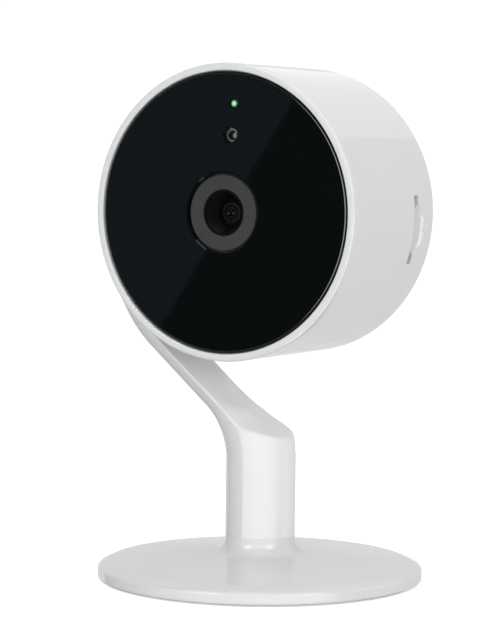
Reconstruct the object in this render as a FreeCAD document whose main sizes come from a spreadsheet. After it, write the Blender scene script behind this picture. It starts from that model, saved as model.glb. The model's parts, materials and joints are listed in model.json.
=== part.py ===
"""A small indoor security camera: a round camera head on a side-mounted ball joint, a bent arm and a
round weighted base. Millimetres. Row frame: +Z up, the origin on the table under the post's centre, the
camera looks along -Y. Head parts are drawn in the head's own frame, +Z forward along the lens axis,
+X to the side away from the arm, +Y up, and are then placed on the ball joint."""
import FreeCAD, Part
import math
import os
from types import SimpleNamespace

import Sketcher
from FreeCAD import Placement, Rotation, Vector

DRIVING = [
    # overall
    ("head_radius", 32.5, "outside radius of the camera head"),
    ("head_depth", 39.0, "head, front lip to rear rim"),
    ("shell_wall", 2.4, "wall of the head's barrel"),
    ("corner_round", 0.8, "rounding of the head's front and rear corners"),
    ("seam", 0.1, "gap round a part that drops into a seat"),
    ("fit", 0.05, "clearance between parts that are assembled together"),
    # front window and lens
    ("window_ledge", 0.5, "ledge of the barrel that the window rests on"),
    ("window_gap", 0.2, "gap between the window and the lip"),
    ("window_thick", 1.5, "front window"),
    ("window_recess", 0.3, "window below the lip"),
    ("window_bevel", 0.3, "bevel round the window"),
    ("lens_hole_radius", 9.0, "hole in the window for the lens ring"),
    ("ring_radius", 8.3, "grey trim ring round the lens"),
    ("ring_bore_radius", 5.05, "opening in the trim ring"),
    ("ring_recess", 0.35, "trim ring below the window's face"),
    ("ring_flange_radius", 10.3, "trim ring's flange behind the window"),
    ("eye_depth", 3.6, "front lens element below the window's face"),
    ("eye_radius", 2.7, "front lens element"),
    ("led_inset", 6.8, "status light from the window's edge"),
    ("led_pipe_radius", 0.9, "status light's pipe"),
    ("sensor_inset", 13.7, "light sensor from the window's edge"),
    ("sensor_window_radius", 1.55, "light sensor's window"),
    # lens module
    ("lens_head_radius", 7.0, "head of the lens barrel"),
    ("lens_thread_radius", 6.0, "threaded part of the lens barrel"),
    ("lens_head_length", 3.5, "head of the lens barrel"),
    ("lens_length", 13.0, "lens barrel, front rim to rear end"),
    ("holder_wall", 1.6, "wall of the lens holder's tube"),
    ("holder_width", 26.0, "lens holder's box, along the filter's travel"),
    ("holder_height", 14.0, "lens holder's box, across the filter's travel"),
    ("holder_depth", 7.0, "lens holder's box, along the lens axis"),
    ("filter_size", 6.4, "square filter glass"),
    ("filter_thick", 0.6, "filter glass"),
    ("filter_travel", 7.4, "travel of the filter frame"),
    # boards
    ("board_thick", 1.2, "main and sensor boards"),
    ("light_room", 3.0, "room between the light board and the carrier"),
    ("light_board_thick", 1.0, "board of the infrared lights"),
    ("light_board_gap", 3.6, "light board to the barrel's wall"),
    ("rear_room", 4.1, "room between the rear cover and the main board"),
    ("main_board_gap", 1.1, "main board to the barrel's wall"),
    ("sensor_gap", 6.8, "sensor board behind the lens barrel's end"),
    ("tape_thick", 0.2, "adhesive ring behind the window"),
    ("tape_width", 2.6, "adhesive ring behind the window"),
    ("light_circle", 17.5, "circle of the infrared lights"),
    ("light_screw_inset", 4.5, "light board's screws from its edge"),
    ("carrier_thick", 1.5, "front carrier's plate"),
    ("carrier_post_gap", 7.1, "carrier's posts from the barrel's wall"),
    ("carrier_post_radius", 2.1, "carrier's posts"),
    # side features
    ("slot_length", 15.1, "memory card slot"),
    ("slot_width", 2.1, "memory card slot"),
    ("card_height", 1.1, "middle of the card above the main board"),
    ("card_socket_gap", 2.3, "card socket's mouth to the barrel's wall"),
    ("card_socket_length", 13.8, "memory card socket"),
    ("card_socket_thick", 2.1, "memory card socket"),
    ("scoop_radius", 7.05, "nail scoop beside the card slot"),
    ("scoop_reach", 2.9, "nail scoop beside the card slot"),
    ("scoop_depth", 1.3, "nail scoop beside the card slot"),
    # rear cover
    ("rear_thick", 2.0, "rear cover"),
    ("rear_recess", 0.3, "rear cover below the rim"),
    ("rear_ledge", 0.75, "ledge that the rear cover sits on"),
    ("boss_inset", 2.2, "rear cover's screws from the barrel's wall"),
    ("boss_gap", 4.2, "screw bosses behind the light board"),
    ("screw_radius", 1.0, "rear and base screws' shanks"),
    ("screw_head_radius", 1.9, "rear screws' heads"),
    ("screw_length", 7.0, "rear screws"),
    ("rear_screw_sink", 1.1, "rear screws' counterbores"),
    ("small_screw", 0.65, "holes for the small screws inside"),
    ("boss_radius", 2.7, "screw bosses in the barrel"),
    ("speaker_height", 11.0, "speaker above the lens axis"),
    ("speaker_radius", 10.0, "speaker"),
    ("speaker_thick", 3.4, "speaker"),
    ("grille_hole_radius", 0.55, "speaker grille"),
    ("grille_pitch", 2.4, "speaker grille"),
    ("button_radius", 1.6, "reset button"),
    ("button_offset", 10.0, "reset button and charging socket, either side of the middle"),
    ("microphone_place", 5.0, "microphone and its hole, from the middle"),
    ("flange_thick", 0.8, "reset button's flange"),
    ("button_travel", 0.5, "travel of the reset button"),
    ("port_height", -14.5, "reset button and charging socket, from the lens axis"),
    ("usb_width", 7.6, "charging socket's opening"),
    ("usb_height", 2.7, "charging socket's opening"),
    # ball joint
    ("ball_radius", 4.0, "ball of the stud"),
    ("ball_inset", 5.9, "ball's centre inside the barrel's side"),
    ("ball_play", 0.06, "clearance of the ball in its socket"),
    ("neck_radius", 2.0, "stud's neck"),
    ("swing", 6.44, "degrees that the head swings each side of level, and its droop at rest"),
    ("socket_wall", 2.4, "wall of the ball's socket outside its liner"),
    ("liner_wall", 0.8, "nylon liner of the socket"),
    ("socket_inward", 2.0, "socket boss beyond the ball's centre"),
    ("liner_short", 1.0, "liner's outer end short of the ball's"),
    ("neck_play", 1.6, "room round the stud's neck in the barrel"),
    ("socket_screw_inset", 1.17, "socket cap's screws from its edge"),
    ("cap_roof", 1.0, "socket cap's back"),
    ("spring_room", 1.34, "room for the spring behind the friction cup"),
    ("collar_radius", 3.4, "stud's collar against the arm"),
    ("collar_thick", 1.0, "stud's collar against the arm"),
    ("bush_wall", 0.9, "nylon bush in the arm"),
    ("washer_thick", 0.4, "tilt washer"),
    ("tilt_screw_thick", 0.9, "head of the tilt screw"),
    ("plug_radius", 3.5, "plug over the screw on the arm's outer side"),
    ("swivel_screw", 1.3, "screw hole in the spigot"),
    ("web_thick", 2.4, "arm's wall that carries the stud"),
    # arm and post
    ("post_radius", 7.9, "round section of the post and of the arm's outer side"),
    ("arm_thick", 5.0, "arm, flat inner face to round outer side"),
    ("slant", 40.8, "degrees of the arm's sloping run above level"),
    ("pivot_height", 86.03, "ball's centre above the table"),
    ("low_bend_radius", 22.9, "lower bend of the section's axis"),
    ("high_bend_radius", 24.1, "upper bend of the section's axis"),
    ("shoulder_slope", 15.6, "degrees of the short flat across the top of the post"),
    ("shoulder_place", -1.4, "where that flat meets the arm's inner face, from the post's axis"),
    ("shoulder_round", 10.0, "blend between that flat and the arm's inner face"),
    ("crease_round", 0.5, "rounding of the edge between the flat and the round side"),
    ("side_gap", 2.27, "arm to the head's side, with the head level"),
    ("sweep_gap", 0.1, "arm to the corner of the head as it tilts, before the corner's rounding"),
    ("head_shift", 0.67, "level head's middle to the post's axis"),
    # base
    ("base_radius", 36.75, "round base"),
    ("rim_height", 4.1, "top of the base at its rim"),
    ("rim_in", 2.6, "width of the base's rounded top edge"),
    ("rim_side", 3.05, "top of the base's upright side"),
    ("rim_bevel", 1.0, "bevel of the base's lower edge"),
    ("dome_height", 5.3, "top of the base beside the post"),
    ("foot_height", 10.0, "seam between the base's flared foot and the post"),
    ("foot_flare", 0.35, "flare of the foot"),
    ("foot_fillet", 0.9, "small round between the foot and the base's top"),
    ("base_screw_circle", 18.0, "circle of the base plate's screws"),
    ("retainer_thick", 0.8, "swivel's retaining plate"),
    ("retainer_radius", 7.4, "swivel's retaining plate"),
    ("spring_gap", 0.35, "room for the swivel's wave spring"),
    ("cover_wall", 1.2, "wall of the base cover"),
    ("rim_lift", 0.3, "cover's rim above the table"),
    ("pad_thick", 0.8, "rubber foot"),
    ("pad_inset", 3.75, "rubber foot inside the base's edge"),
    ("plate_thick", 1.0, "base plate"),
    ("weight_thick", 1.0, "steel weight"),
    ("spigot_step", 2.4, "spigot that turns in the base, inside the post's surface"),
]


class Size:
    """A size as the text of an expression on the sheet, with its present value."""

    def __init__(self, text, value):
        self.text, self.value = text, value

    def _join(self, other, sign, value, swapped=False):
        other = as_size(other)
        left, right = (other, self) if swapped else (self, other)
        return Size(f"({left.text} {sign} {right.text})", value)

    def __add__(self, other):
        return self._join(other, "+", self.value + as_size(other).value)

    __radd__ = __add__

    def __sub__(self, other):
        return self._join(other, "-", self.value - as_size(other).value)

    def __rsub__(self, other):
        return self._join(other, "-", as_size(other).value - self.value, swapped=True)

    def __mul__(self, other):
        return self._join(other, "*", self.value * as_size(other).value)

    __rmul__ = __mul__

    def __truediv__(self, other):
        return self._join(other, "/", self.value / as_size(other).value)

    def __rtruediv__(self, other):
        return self._join(other, "/", as_size(other).value / self.value, swapped=True)

    def __neg__(self):
        return Size(f"(0 - {self.text})", -self.value)


def as_size(value):
    return value if isinstance(value, Size) else Size(f"({float(value):.6f})", float(value))


def root(size):
    return Size(f"sqrt({size.text})", math.sqrt(size.value))


def sine(size):
    return Size(f"sin({size.text})", math.sin(math.radians(size.value)))


def cosine(size):
    return Size(f"cos({size.text})", math.cos(math.radians(size.value)))


def tangent(size):
    return Size(f"tan({size.text})", math.tan(math.radians(size.value)))


doc = FreeCAD.newDocument("security_camera")
sheet = doc.addObject("Spreadsheet::Sheet", "Sizes")
size = SimpleNamespace()
for row, (alias, number, note) in enumerate(DRIVING, start=1):
    sheet.set(f"A{row}", note)
    sheet.set(f"B{row}", str(number))
    sheet.setAlias(f"B{row}", alias)
    setattr(size, alias, Size(f"Sizes.{alias}", number))
doc.recompute()
places = doc.addObject("App::VarSet", "Places")
place = SimpleNamespace()


def work_out(name, value):
    """Keeps a worked-out size under its own name, tied to the sheet by an expression."""
    places.addProperty("App::PropertyFloat", name)
    places.setExpression(name, value.text)
    setattr(place, name, Size(f"Places.{name}", value.value))


# ---- worked-out sizes -------------------------------------------------------------------------------
work_out("inner_radius", size.head_radius - size.shell_wall)
work_out("half_depth", size.head_depth / 2)
work_out("window_radius", place.inner_radius + size.window_ledge)
work_out("window_seat", place.window_radius + size.window_gap)
work_out("led_offset", place.window_radius - size.led_inset)
work_out("sensor_offset", place.window_radius - size.sensor_inset)
# levels along the lens axis, from the head's middle
work_out("window_front", place.half_depth - size.window_recess)
work_out("window_back", place.window_front - size.window_thick)
work_out("tape_back", place.window_back - size.tape_thick)
work_out("carrier_back", place.tape_back - size.carrier_thick)
work_out("light_board_front", place.carrier_back - size.light_room)
work_out("light_board_back", place.light_board_front - size.light_board_thick)
work_out("ring_face", place.window_front - size.ring_recess)
work_out("eye_front", place.window_front - size.eye_depth)
work_out("thread_front", place.eye_front - size.lens_head_length)
work_out("lens_back", place.eye_front - size.lens_length)
work_out("sensor_board_front", place.lens_back - size.sensor_gap)
work_out("sensor_board_back", place.sensor_board_front - size.board_thick)
work_out("holder_top", place.sensor_board_front + size.holder_depth)
work_out("rear_face", size.rear_recess - place.half_depth)
work_out("rear_inside", place.rear_face + size.rear_thick)
work_out("main_board_back", place.rear_inside + size.rear_room)
work_out("main_board_front", place.main_board_back + size.board_thick)
work_out("slot_centre", place.main_board_front + size.card_height)
work_out("boss_length", place.light_board_back - size.boss_gap - place.rear_inside)
# places across the lens axis
work_out("rear_seat", place.inner_radius + size.rear_ledge)
work_out("light_board_radius", place.inner_radius - size.light_board_gap)
work_out("light_screw_place", place.light_board_radius - size.light_screw_inset)
work_out("main_board_radius", place.inner_radius - size.main_board_gap)
work_out("carrier_post_circle", place.inner_radius - size.carrier_post_gap)
work_out("boss_circle", place.inner_radius - size.boss_inset)
work_out("card_socket_start", place.inner_radius - size.card_socket_gap - size.card_socket_length)

work_out("ball_reach", size.head_radius - size.ball_inset)
work_out("ball_across", size.head_shift - place.ball_reach)
work_out("head_across", place.ball_across + place.ball_reach * cosine(size.swing))
work_out("head_height", size.pivot_height - place.ball_reach * sine(size.swing))
work_out("liner_radius", size.ball_radius + size.liner_wall)
work_out("liner_front", size.ball_radius - size.liner_short)
work_out("socket_radius", place.liner_radius + size.socket_wall)
work_out("socket_screw_place", place.socket_radius - size.socket_screw_inset)
work_out("neck_hole", size.neck_radius + size.neck_play)
work_out("cup_back", size.ball_radius + size.ball_play + size.liner_wall)
work_out("cap_back", place.cup_back + size.spring_room + size.cap_roof)

work_out("arm_inside", place.ball_across - size.ball_inset - size.side_gap)
work_out("flat_offset", size.post_radius - size.arm_thick)
work_out("arm_axis", place.arm_inside + place.flat_offset)
corner = root((size.head_radius - size.corner_round) * (size.head_radius - size.corner_round)
              + (place.half_depth - size.corner_round) * (place.half_depth - size.corner_round))
work_out("flat_reach", corner + size.corner_round + size.sweep_gap)
work_out("flat_level", place.head_height
         - (place.flat_reach - place.head_across * sine(size.slant)) / cosine(size.slant))
work_out("knee_height", place.flat_level + place.flat_offset / cosine(size.slant))
work_out("high_knee", place.knee_height - place.arm_axis * tangent(size.slant))
half_turn = (90 - size.slant) / 2
work_out("low_tangent", size.low_bend_radius * tangent(half_turn))
work_out("high_tangent", size.high_bend_radius * tangent(half_turn))
work_out("web_outside", place.arm_inside - size.web_thick)
work_out("washer_outside", place.web_outside - size.washer_thick)
work_out("plug_inside", place.washer_outside - size.tilt_screw_thick - size.seam)
work_out("bush_radius", size.neck_radius + size.fit + size.bush_wall)

work_out("spigot_radius", size.post_radius - size.spigot_step)
work_out("pad_radius", size.base_radius - size.pad_inset)
work_out("cover_inside", size.rim_height - size.cover_wall)
work_out("plate_top", size.pad_thick + size.plate_thick)
work_out("spigot_end", place.cover_inside - size.spring_gap)

# ---- drawing helpers --------------------------------------------------------------------------------
pieces = []


def plane_of(body, role):
    return [feature for feature in body.Origin.OriginFeatures if feature.Role == role][0]


def tie(thing, **settings):
    """Ties settings of an object to sizes; a double underscore stands for the dot in a setting's path."""
    for setting, value in settings.items():
        thing.setExpression(setting.replace("__", "."), as_size(value).text)


def put(thing, at):
    for letter, value in zip("xyz", at):
        thing.setExpression(f"Placement.Base.{letter}", as_size(value).text)


def outline(body, role, corners, closed=True, lift=0):
    """A sketch of straight runs and arcs. A corner is (across, up), with a third value where the run that
    ends there is an arc: its radius, negative where the run turns clockwise."""
    sketch = body.newObject("Sketcher::SketchObject", "Outline")
    sketch.AttachmentSupport = [(plane_of(body, role), "")]
    sketch.MapMode = "FlatFace"
    sketch.setExpression("AttachmentOffset.Base.z", as_size(lift).text)
    ends = [Vector(as_size(corner[0]).value, as_size(corner[1]).value, 0) for corner in corners]
    runs = list(range(1, len(corners))) + ([0] if closed else [])
    arcs = []
    for order, end in enumerate(runs):
        first, last = ends[end - 1], ends[end]
        if len(corners[end]) < 3:
            sketch.addGeometry(Part.LineSegment(first, last), False)
            continue
        radius = as_size(corners[end][2]).value
        chord = last - first
        side = Vector(-chord.y, chord.x, 0).normalize()
        height = math.sqrt(max(radius * radius - chord.Length ** 2 / 4, 0))
        middle = (first + last) / 2 + side * math.copysign(height, radius)
        sketch.addGeometry(Part.Arc(first, middle - side * radius, last), False)
        arcs.append((order, abs(radius), corners[end][2], radius > 0))
    links = []
    # an arc's own ends run counter-clockwise, so a clockwise run starts at its second end
    backward = {order for order, _, _, forward in arcs if not forward}
    start = lambda order: 2 if order in backward else 1
    finish = lambda order: 1 if order in backward else 2
    for order in range(len(runs) - (0 if closed else 1)):
        following = (order + 1) % len(runs)
        links.append(Sketcher.Constraint("Coincident", order, finish(order), following, start(following)))
    sketch.addConstraint(links)
    count = len(links)

    def hold(kind, value, *where):
        nonlocal count
        value = as_size(value)
        sketch.addConstraint(Sketcher.Constraint(kind, *where, value.value))
        sketch.setExpression(f"Constraints[{count}]", value.text)
        count += 1

    for order, end in enumerate(runs):
        hold("DistanceX", corners[end][0], -1, 1, order, finish(order))
        hold("DistanceY", corners[end][1], -1, 1, order, finish(order))
    if not closed:
        hold("DistanceX", corners[0][0], -1, 1, 0, start(0))
        hold("DistanceY", corners[0][1], -1, 1, 0, start(0))
    for order, _, radius, forward in arcs:
        hold("Radius", radius if forward else -as_size(radius), order)
    return sketch


def turned(name, corners):
    """A solid turned round Z from an outline of (radius, height) corners."""
    body = doc.addObject("PartDesign::Body", name)
    spin = body.newObject("PartDesign::Revolution", "Turn")
    spin.Profile = outline(body, "XZ_Plane", corners)
    spin.ReferenceAxis = (spin.Profile[0], ["V_Axis"])
    spin.Angle = 360
    body.Tip = spin
    return body


def ring(name, inner, outer, low, high):
    return turned(name, [(inner, low), (outer, low), (outer, high), (inner, high)])


def extruded(name, corners, low, high, role="XY_Plane"):
    """A plate of an outline, between two levels along its plane's normal."""
    body = doc.addObject("PartDesign::Body", name)
    pad = body.newObject("PartDesign::Pad", "Pad")
    pad.Profile = outline(body, role, corners, lift=low)
    tie(pad, Length=as_size(high) - low)
    body.Tip = pad
    return body


ALONG = {"z": Rotation(), "x": Rotation(Vector(0, 1, 0), 90), "y": Rotation(Vector(1, 0, 0), -90),
         "back x": Rotation(Vector(0, 1, 0), -90)}


def step(body, kind, at, along="z", **sizes):
    """One more additive or subtractive primitive in a body."""
    feature = body.newObject(f"PartDesign::{kind}", kind)
    feature.Placement = Placement(Vector(), ALONG[along])
    put(feature, at)
    tie(feature, **sizes)
    body.Tip = feature


def bore(body, radius, at, length, along="z"):
    step(body, "SubtractiveCylinder", at, along, Radius=radius, Height=length)


def post(body, radius, at, length, along="z"):
    step(body, "AdditiveCylinder", at, along, Radius=radius, Height=length)


def box_sizes(low, high):
    spans = [as_size(top) - bottom for bottom, top in zip(low, high)]
    return dict(zip(("Length", "Width", "Height"), spans))


def cut_box(body, low, high):
    step(body, "SubtractiveBox", low, **box_sizes(low, high))


def add_box(body, low, high):
    step(body, "AdditiveBox", low, **box_sizes(low, high))


def block(name, low, high):
    body = doc.addObject("PartDesign::Body", name)
    add_box(body, low, high)
    return body


def rod(name, radius, at, length, along="z"):
    body = doc.addObject("PartDesign::Body", name)
    post(body, radius, at, length, along)
    return body


def round_edges(body, radius, wanted):
    """Rounds the edges that a test picks."""
    doc.recompute()
    base = body.Tip
    edges = [f"Edge{number}" for number, edge in enumerate(base.Shape.Edges, 1) if wanted(edge)]
    if not edges:
        raise ValueError(f"no edges to round on {body.Name}")
    feature = body.newObject("PartDesign::Fillet", "Round")
    feature.Base = (base, edges)
    tie(feature, Radius=radius)
    body.Tip = feature


def on_circle(radius, level):
    def wanted(edge):
        box = edge.BoundBox
        flat = abs(box.ZMin - as_size(level).value) < 1e-3 and box.ZLength < 1e-3
        return flat and abs(box.XMax - as_size(radius).value) < 1e-3
    return wanted


def joined(name, kind, things):
    result = doc.addObject(kind, name)
    setattr(result, "Links" if kind == "Part::Compound" else "Shapes", things)
    return result


def cut_from(name, base, tool):
    result = doc.addObject("Part::Cut", name)
    result.Base, result.Tool = base, tool
    return result


def keep(thing, label):
    thing.Label = label
    pieces.append(thing)


def keep_in_head(thing, label):
    """Stands a piece that is drawn in the head's frame where the head hangs on its ball."""
    thing.Placement = Placement(Vector(), Rotation(0, 0, 90))
    thing.setExpression("Placement.Rotation.Pitch", size.swing.text)
    put(thing, (place.head_across, 0, place.head_height))
    keep(thing, label)


def keep_on_pivot(thing, label):
    """Stands a piece that is turned round Z on the tilt axis, its Z along +X and its zero at the ball."""
    thing.Placement = Placement(Vector(), ALONG["x"])
    put(thing, (place.ball_across, 0, size.pivot_height))
    keep(thing, label)


def keep_moved(thing, label, at, along="z"):
    """Moves a piece inside the head's frame first, and then stands it with the head."""
    thing.Placement = Placement(Vector(), ALONG[along])
    put(thing, at)
    keep_in_head(joined(f"{thing.Name}Placed", "Part::Compound", [thing]), label)


def round_at(circle, angle):
    return circle * math.cos(math.radians(angle)), circle * math.sin(math.radians(angle))


# cross recess of a screw, as shares of its head
CROSS_LENGTH = 0.55
CROSS_WIDTH = 0.12
CROSS_DEPTH = 0.6
CROSS_OVER = 0.1  # how far the cutting box stands out of the head


def screw(name, head_radius, head_thick, shank_radius, length, under_head):
    """A screw along Z with its head below and its shank going up from under the head."""
    low = under_head - head_thick
    body = turned(name, [(0, low), (head_radius, low), (head_radius, under_head),
                         (shank_radius, under_head), (shank_radius, under_head + length),
                         (0, under_head + length)])
    half_long, half_wide = head_radius * CROSS_LENGTH, head_radius * CROSS_WIDTH
    for across, up in ((half_long, half_wide), (half_wide, half_long)):
        cut_box(body, (-across, -up, low - CROSS_OVER), (across, up, low + head_thick * CROSS_DEPTH))
    return body


def screws(name, label, spots, keeper, *sizes):
    """Screws of one size at several spots, as one group."""
    parts = []
    for number, (across, up) in enumerate(spots):
        body = screw(f"{name}{number}", *sizes)
        put(body, (across, up, 0))
        parts.append(body)
    keeper(joined(name, "Part::Compound", parts), label)


# ---- head: barrel and rear --------------------------------------------------------------------------
BOSS_ANGLES = (90, 225, 315)
CARRIER_ANGLES = (30, 150, 270)
LIGHT_ANGLES = [22.5 + 45 * number for number in range(8)]


def barrel_shell():
    back, front = -place.half_depth, place.half_depth
    body = turned("BarrelShell", [
        (place.rear_seat, back), (size.head_radius, back), (size.head_radius, front),
        (place.window_seat, front), (place.window_seat, place.window_back),
        (place.inner_radius, place.window_back), (place.inner_radius, place.rear_inside),
        (place.rear_seat, place.rear_inside)])
    round_edges(body, size.corner_round,
                lambda edge: any(on_circle(size.head_radius, level)(edge) for level in (back, front)))
    # socket boss on the arm's side, screw bosses and the card slot with its nail scoop
    deep = size.ball_inset + size.socket_inward
    post(body, place.socket_radius, (-size.head_radius + size.shell_wall / 2, 0, 0),
         deep - size.shell_wall / 2, "x")
    for angle in BOSS_ANGLES:
        across, up = round_at(place.boss_circle, angle)
        post(body, size.boss_radius, (across, up, place.rear_inside), place.boss_length)
        bore(body, size.screw_radius - 0.05, (across, up, place.rear_inside - 1), size.screw_length + 1.5)
    bore(body, place.liner_radius + size.fit, (-place.ball_reach - place.liner_front, 0, 0),
         place.liner_front + size.socket_inward + 1, "x")
    bore(body, place.neck_hole, (-size.head_radius - 1, 0, 0), size.ball_inset + 1, "x")
    for side in (-1, 1):
        bore(body, size.small_screw - 0.05, (size.socket_inward - place.ball_reach - 4,
                                             side * place.socket_screw_place, 0),
             5, "x")
    cut_box(body, (place.inner_radius - 2, -size.slot_length / 2, place.slot_centre - size.slot_width / 2),
            (size.head_radius + 1, size.slot_length / 2, place.slot_centre + size.slot_width / 2))
    scoop_middle = place.slot_centre - size.slot_width / 2 - size.scoop_reach + size.scoop_radius
    scoop_ball = (size.scoop_radius * size.scoop_radius + size.scoop_depth
                  * size.scoop_depth) / (2 * size.scoop_depth)
    scoop = doc.addObject("Part::Sphere", "Scoop")
    tie(scoop, Radius=scoop_ball)
    put(scoop, (size.head_radius - size.scoop_depth + scoop_ball, 0, scoop_middle))
    behind = doc.addObject("Part::Box", "ScoopLimit")
    tie(behind, **box_sizes((0, -size.scoop_radius, scoop_middle - size.scoop_radius - 1),
                            (size.head_radius + 1, size.scoop_radius, place.slot_centre)))
    put(behind, (0, -size.scoop_radius, scoop_middle - size.scoop_radius - 1))
    scooped = doc.addObject("Part::Common", "ScoopTool")
    scooped.Base, scooped.Tool = scoop, behind
    keep_in_head(cut_from("ShellWithScoop", body, scooped), "barrel_shell")


def window():
    low, high = place.window_back, place.window_front
    body = turned("Window", [
        (size.lens_hole_radius, low), (place.window_radius, low), (place.window_radius,
                                                                   high - size.window_bevel),
        (place.window_radius - size.window_bevel, high), (size.lens_hole_radius, high)])
    for offset, radius in ((place.led_offset, size.led_pipe_radius),
                           (place.sensor_offset, size.sensor_window_radius)):
        bore(body, radius + size.fit, (0, offset, low - 1), size.window_thick + 2)
    keep_in_head(body, "window")
    tape = ring("Tape", place.window_radius - size.tape_width, place.window_radius - 0.6, place.tape_back,
                low)
    keep_in_head(tape, "window_tape")


def front_carrier():
    body = ring("FrontCarrier", size.ring_flange_radius + size.seam, place.inner_radius - size.seam * 2,
                place.carrier_back, place.tape_back)
    for angle in CARRIER_ANGLES:
        across, up = round_at(place.carrier_post_circle, angle)
        post(body, size.carrier_post_radius, (across, up, place.main_board_front),
             place.carrier_back - place.main_board_front + 0.5)
        bore(body, size.small_screw - 0.05, (across, up, place.main_board_front - 1), 6)
    for side in (-1, 1):
        spot = side * place.light_screw_place
        post(body, 1.9, (spot, 0, place.light_board_front),
             place.carrier_back - place.light_board_front + 0.5)
        bore(body, size.small_screw - 0.05, (spot, 0, place.light_board_front - 1), 3.5)
    for angle in LIGHT_ANGLES:
        across, up = round_at(size.light_circle, angle)
        bore(body, 2.6, (across, up, place.carrier_back - 1), size.carrier_thick + 2)
    bore(body, size.led_pipe_radius + 0.5 + size.seam, (0, place.led_offset, place.carrier_back - 1),
         size.carrier_thick + 2)
    bore(body, size.sensor_window_radius + 0.5 + size.seam,
         (0, place.sensor_offset, place.carrier_back - 1), size.carrier_thick + 2)
    keep_in_head(body, "front_carrier")


def light_pipes():
    for name, label, offset, radius, foot in (
            ("LedPipe", "led_pipe", place.led_offset, size.led_pipe_radius, place.light_board_front + 0.9),
            ("SensorWindow", "sensor_window", place.sensor_offset, size.sensor_window_radius,
             place.light_board_front + 1.1)):
        wide = radius + 0.5
        body = turned(name, [(0, foot), (wide, foot), (wide, place.tape_back), (radius, place.tape_back),
                             (radius, place.window_front - 0.1), (0, place.window_front - 0.1)])
        keep_moved(body, label, (0, offset, 0))
    front = place.light_board_front
    for name, label, offset, half, tall in (("StatusLed", "status_led", place.led_offset, 0.8, 0.8),
                                            ("LightSensor", "light_sensor", place.sensor_offset, 1.0, 1.0)):
        keep_in_head(block(name, (-half, offset - half, front), (half, offset + half, front + tall)), label)


def light_board():
    front = place.light_board_front
    body = ring("LightBoard", size.ring_flange_radius + 0.3, place.light_board_radius,
                place.light_board_back, front)
    for angle in CARRIER_ANGLES:
        across, up = round_at(place.carrier_post_circle, angle)
        bore(body, size.carrier_post_radius + 0.2, (across, up, place.light_board_back - 1),
             size.light_board_thick + 2)
    for side in (-1, 1):
        bore(body, size.small_screw + 0.1, (side * place.light_screw_place, 0, place.light_board_back - 1),
             size.light_board_thick + 2)
    keep_in_head(body, "light_board")
    leds = []
    for number, angle in enumerate(LIGHT_ANGLES):
        led = turned(f"Light{number}", [(0, front), (1.7, front), (1.7, front + 0.9), (1.3, front + 0.9),
                                        (0, front + 2.2, 1.3)])
        across, up = round_at(size.light_circle, angle)
        put(led, (across, up, 0))
        leds.append(led)
    keep_in_head(joined("Lights", "Part::Compound", leds), "infrared_leds")
    screws("LightScrews", "light_board_screws", [(side * place.light_screw_place, 0) for side in (-1, 1)],
           keep_in_head, 1.7, 0.8, size.small_screw - 0.05, 2.8, place.light_board_back)


def rear_cover():
    disc = rod("RearDisc", place.rear_seat - size.seam, (0, 0, place.rear_face), size.rear_thick)
    bore_deep = size.rear_thick + 2
    low = place.rear_face - 1
    holes = []
    for angle in BOSS_ANGLES:
        across, up = round_at(place.boss_circle, angle)
        holes.append((size.screw_radius + 0.15, across, up, size.rear_thick + 2, low))
        holes.append((size.screw_head_radius + 0.1, across, up, 1 + size.rear_screw_sink, low))
    for rank in (1, 2, 3):
        for number in range(6 * rank):
            across, up = round_at(size.grille_pitch * rank, 60 / rank * number)
            holes.append((size.grille_hole_radius, across, size.speaker_height + up, bore_deep, low))
    holes.append((size.grille_hole_radius, 0, size.speaker_height, bore_deep, low))
    holes.append((size.button_radius + size.fit + 0.02, -size.button_offset, size.port_height, bore_deep,
                  low))
    holes.append((0.5, size.microphone_place, size.port_height - 6, bore_deep, low))
    tools = []
    for number, (radius, across, up, length, start) in enumerate(holes):
        tool = doc.addObject("Part::Cylinder", f"RearHole{number}")
        tie(tool, Radius=radius, Height=length)
        put(tool, (across, up, start))
        tools.append(tool)
    port = doc.addObject("Part::Box", "PortHole")
    half_wide = size.usb_width / 2 + 0.75
    half_tall = size.usb_height / 2 + 0.75
    tie(port, Length=half_wide * 2, Width=half_tall * 2, Height=bore_deep)
    put(port, (size.button_offset - half_wide, size.port_height - half_tall, low))
    tools.append(port)
    all_tools = joined("RearHoles", "Part::MultiFuse", tools)
    keep_in_head(cut_from("RearCut", disc, all_tools), "rear_cover")
    screws("RearScrews", "rear_screws", [round_at(place.boss_circle, angle) for angle in BOSS_ANGLES],
           keep_in_head, size.screw_head_radius, size.rear_screw_sink - 0.1, size.screw_radius - 0.05,
           size.screw_length - 1, place.rear_face + size.rear_screw_sink)


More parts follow.
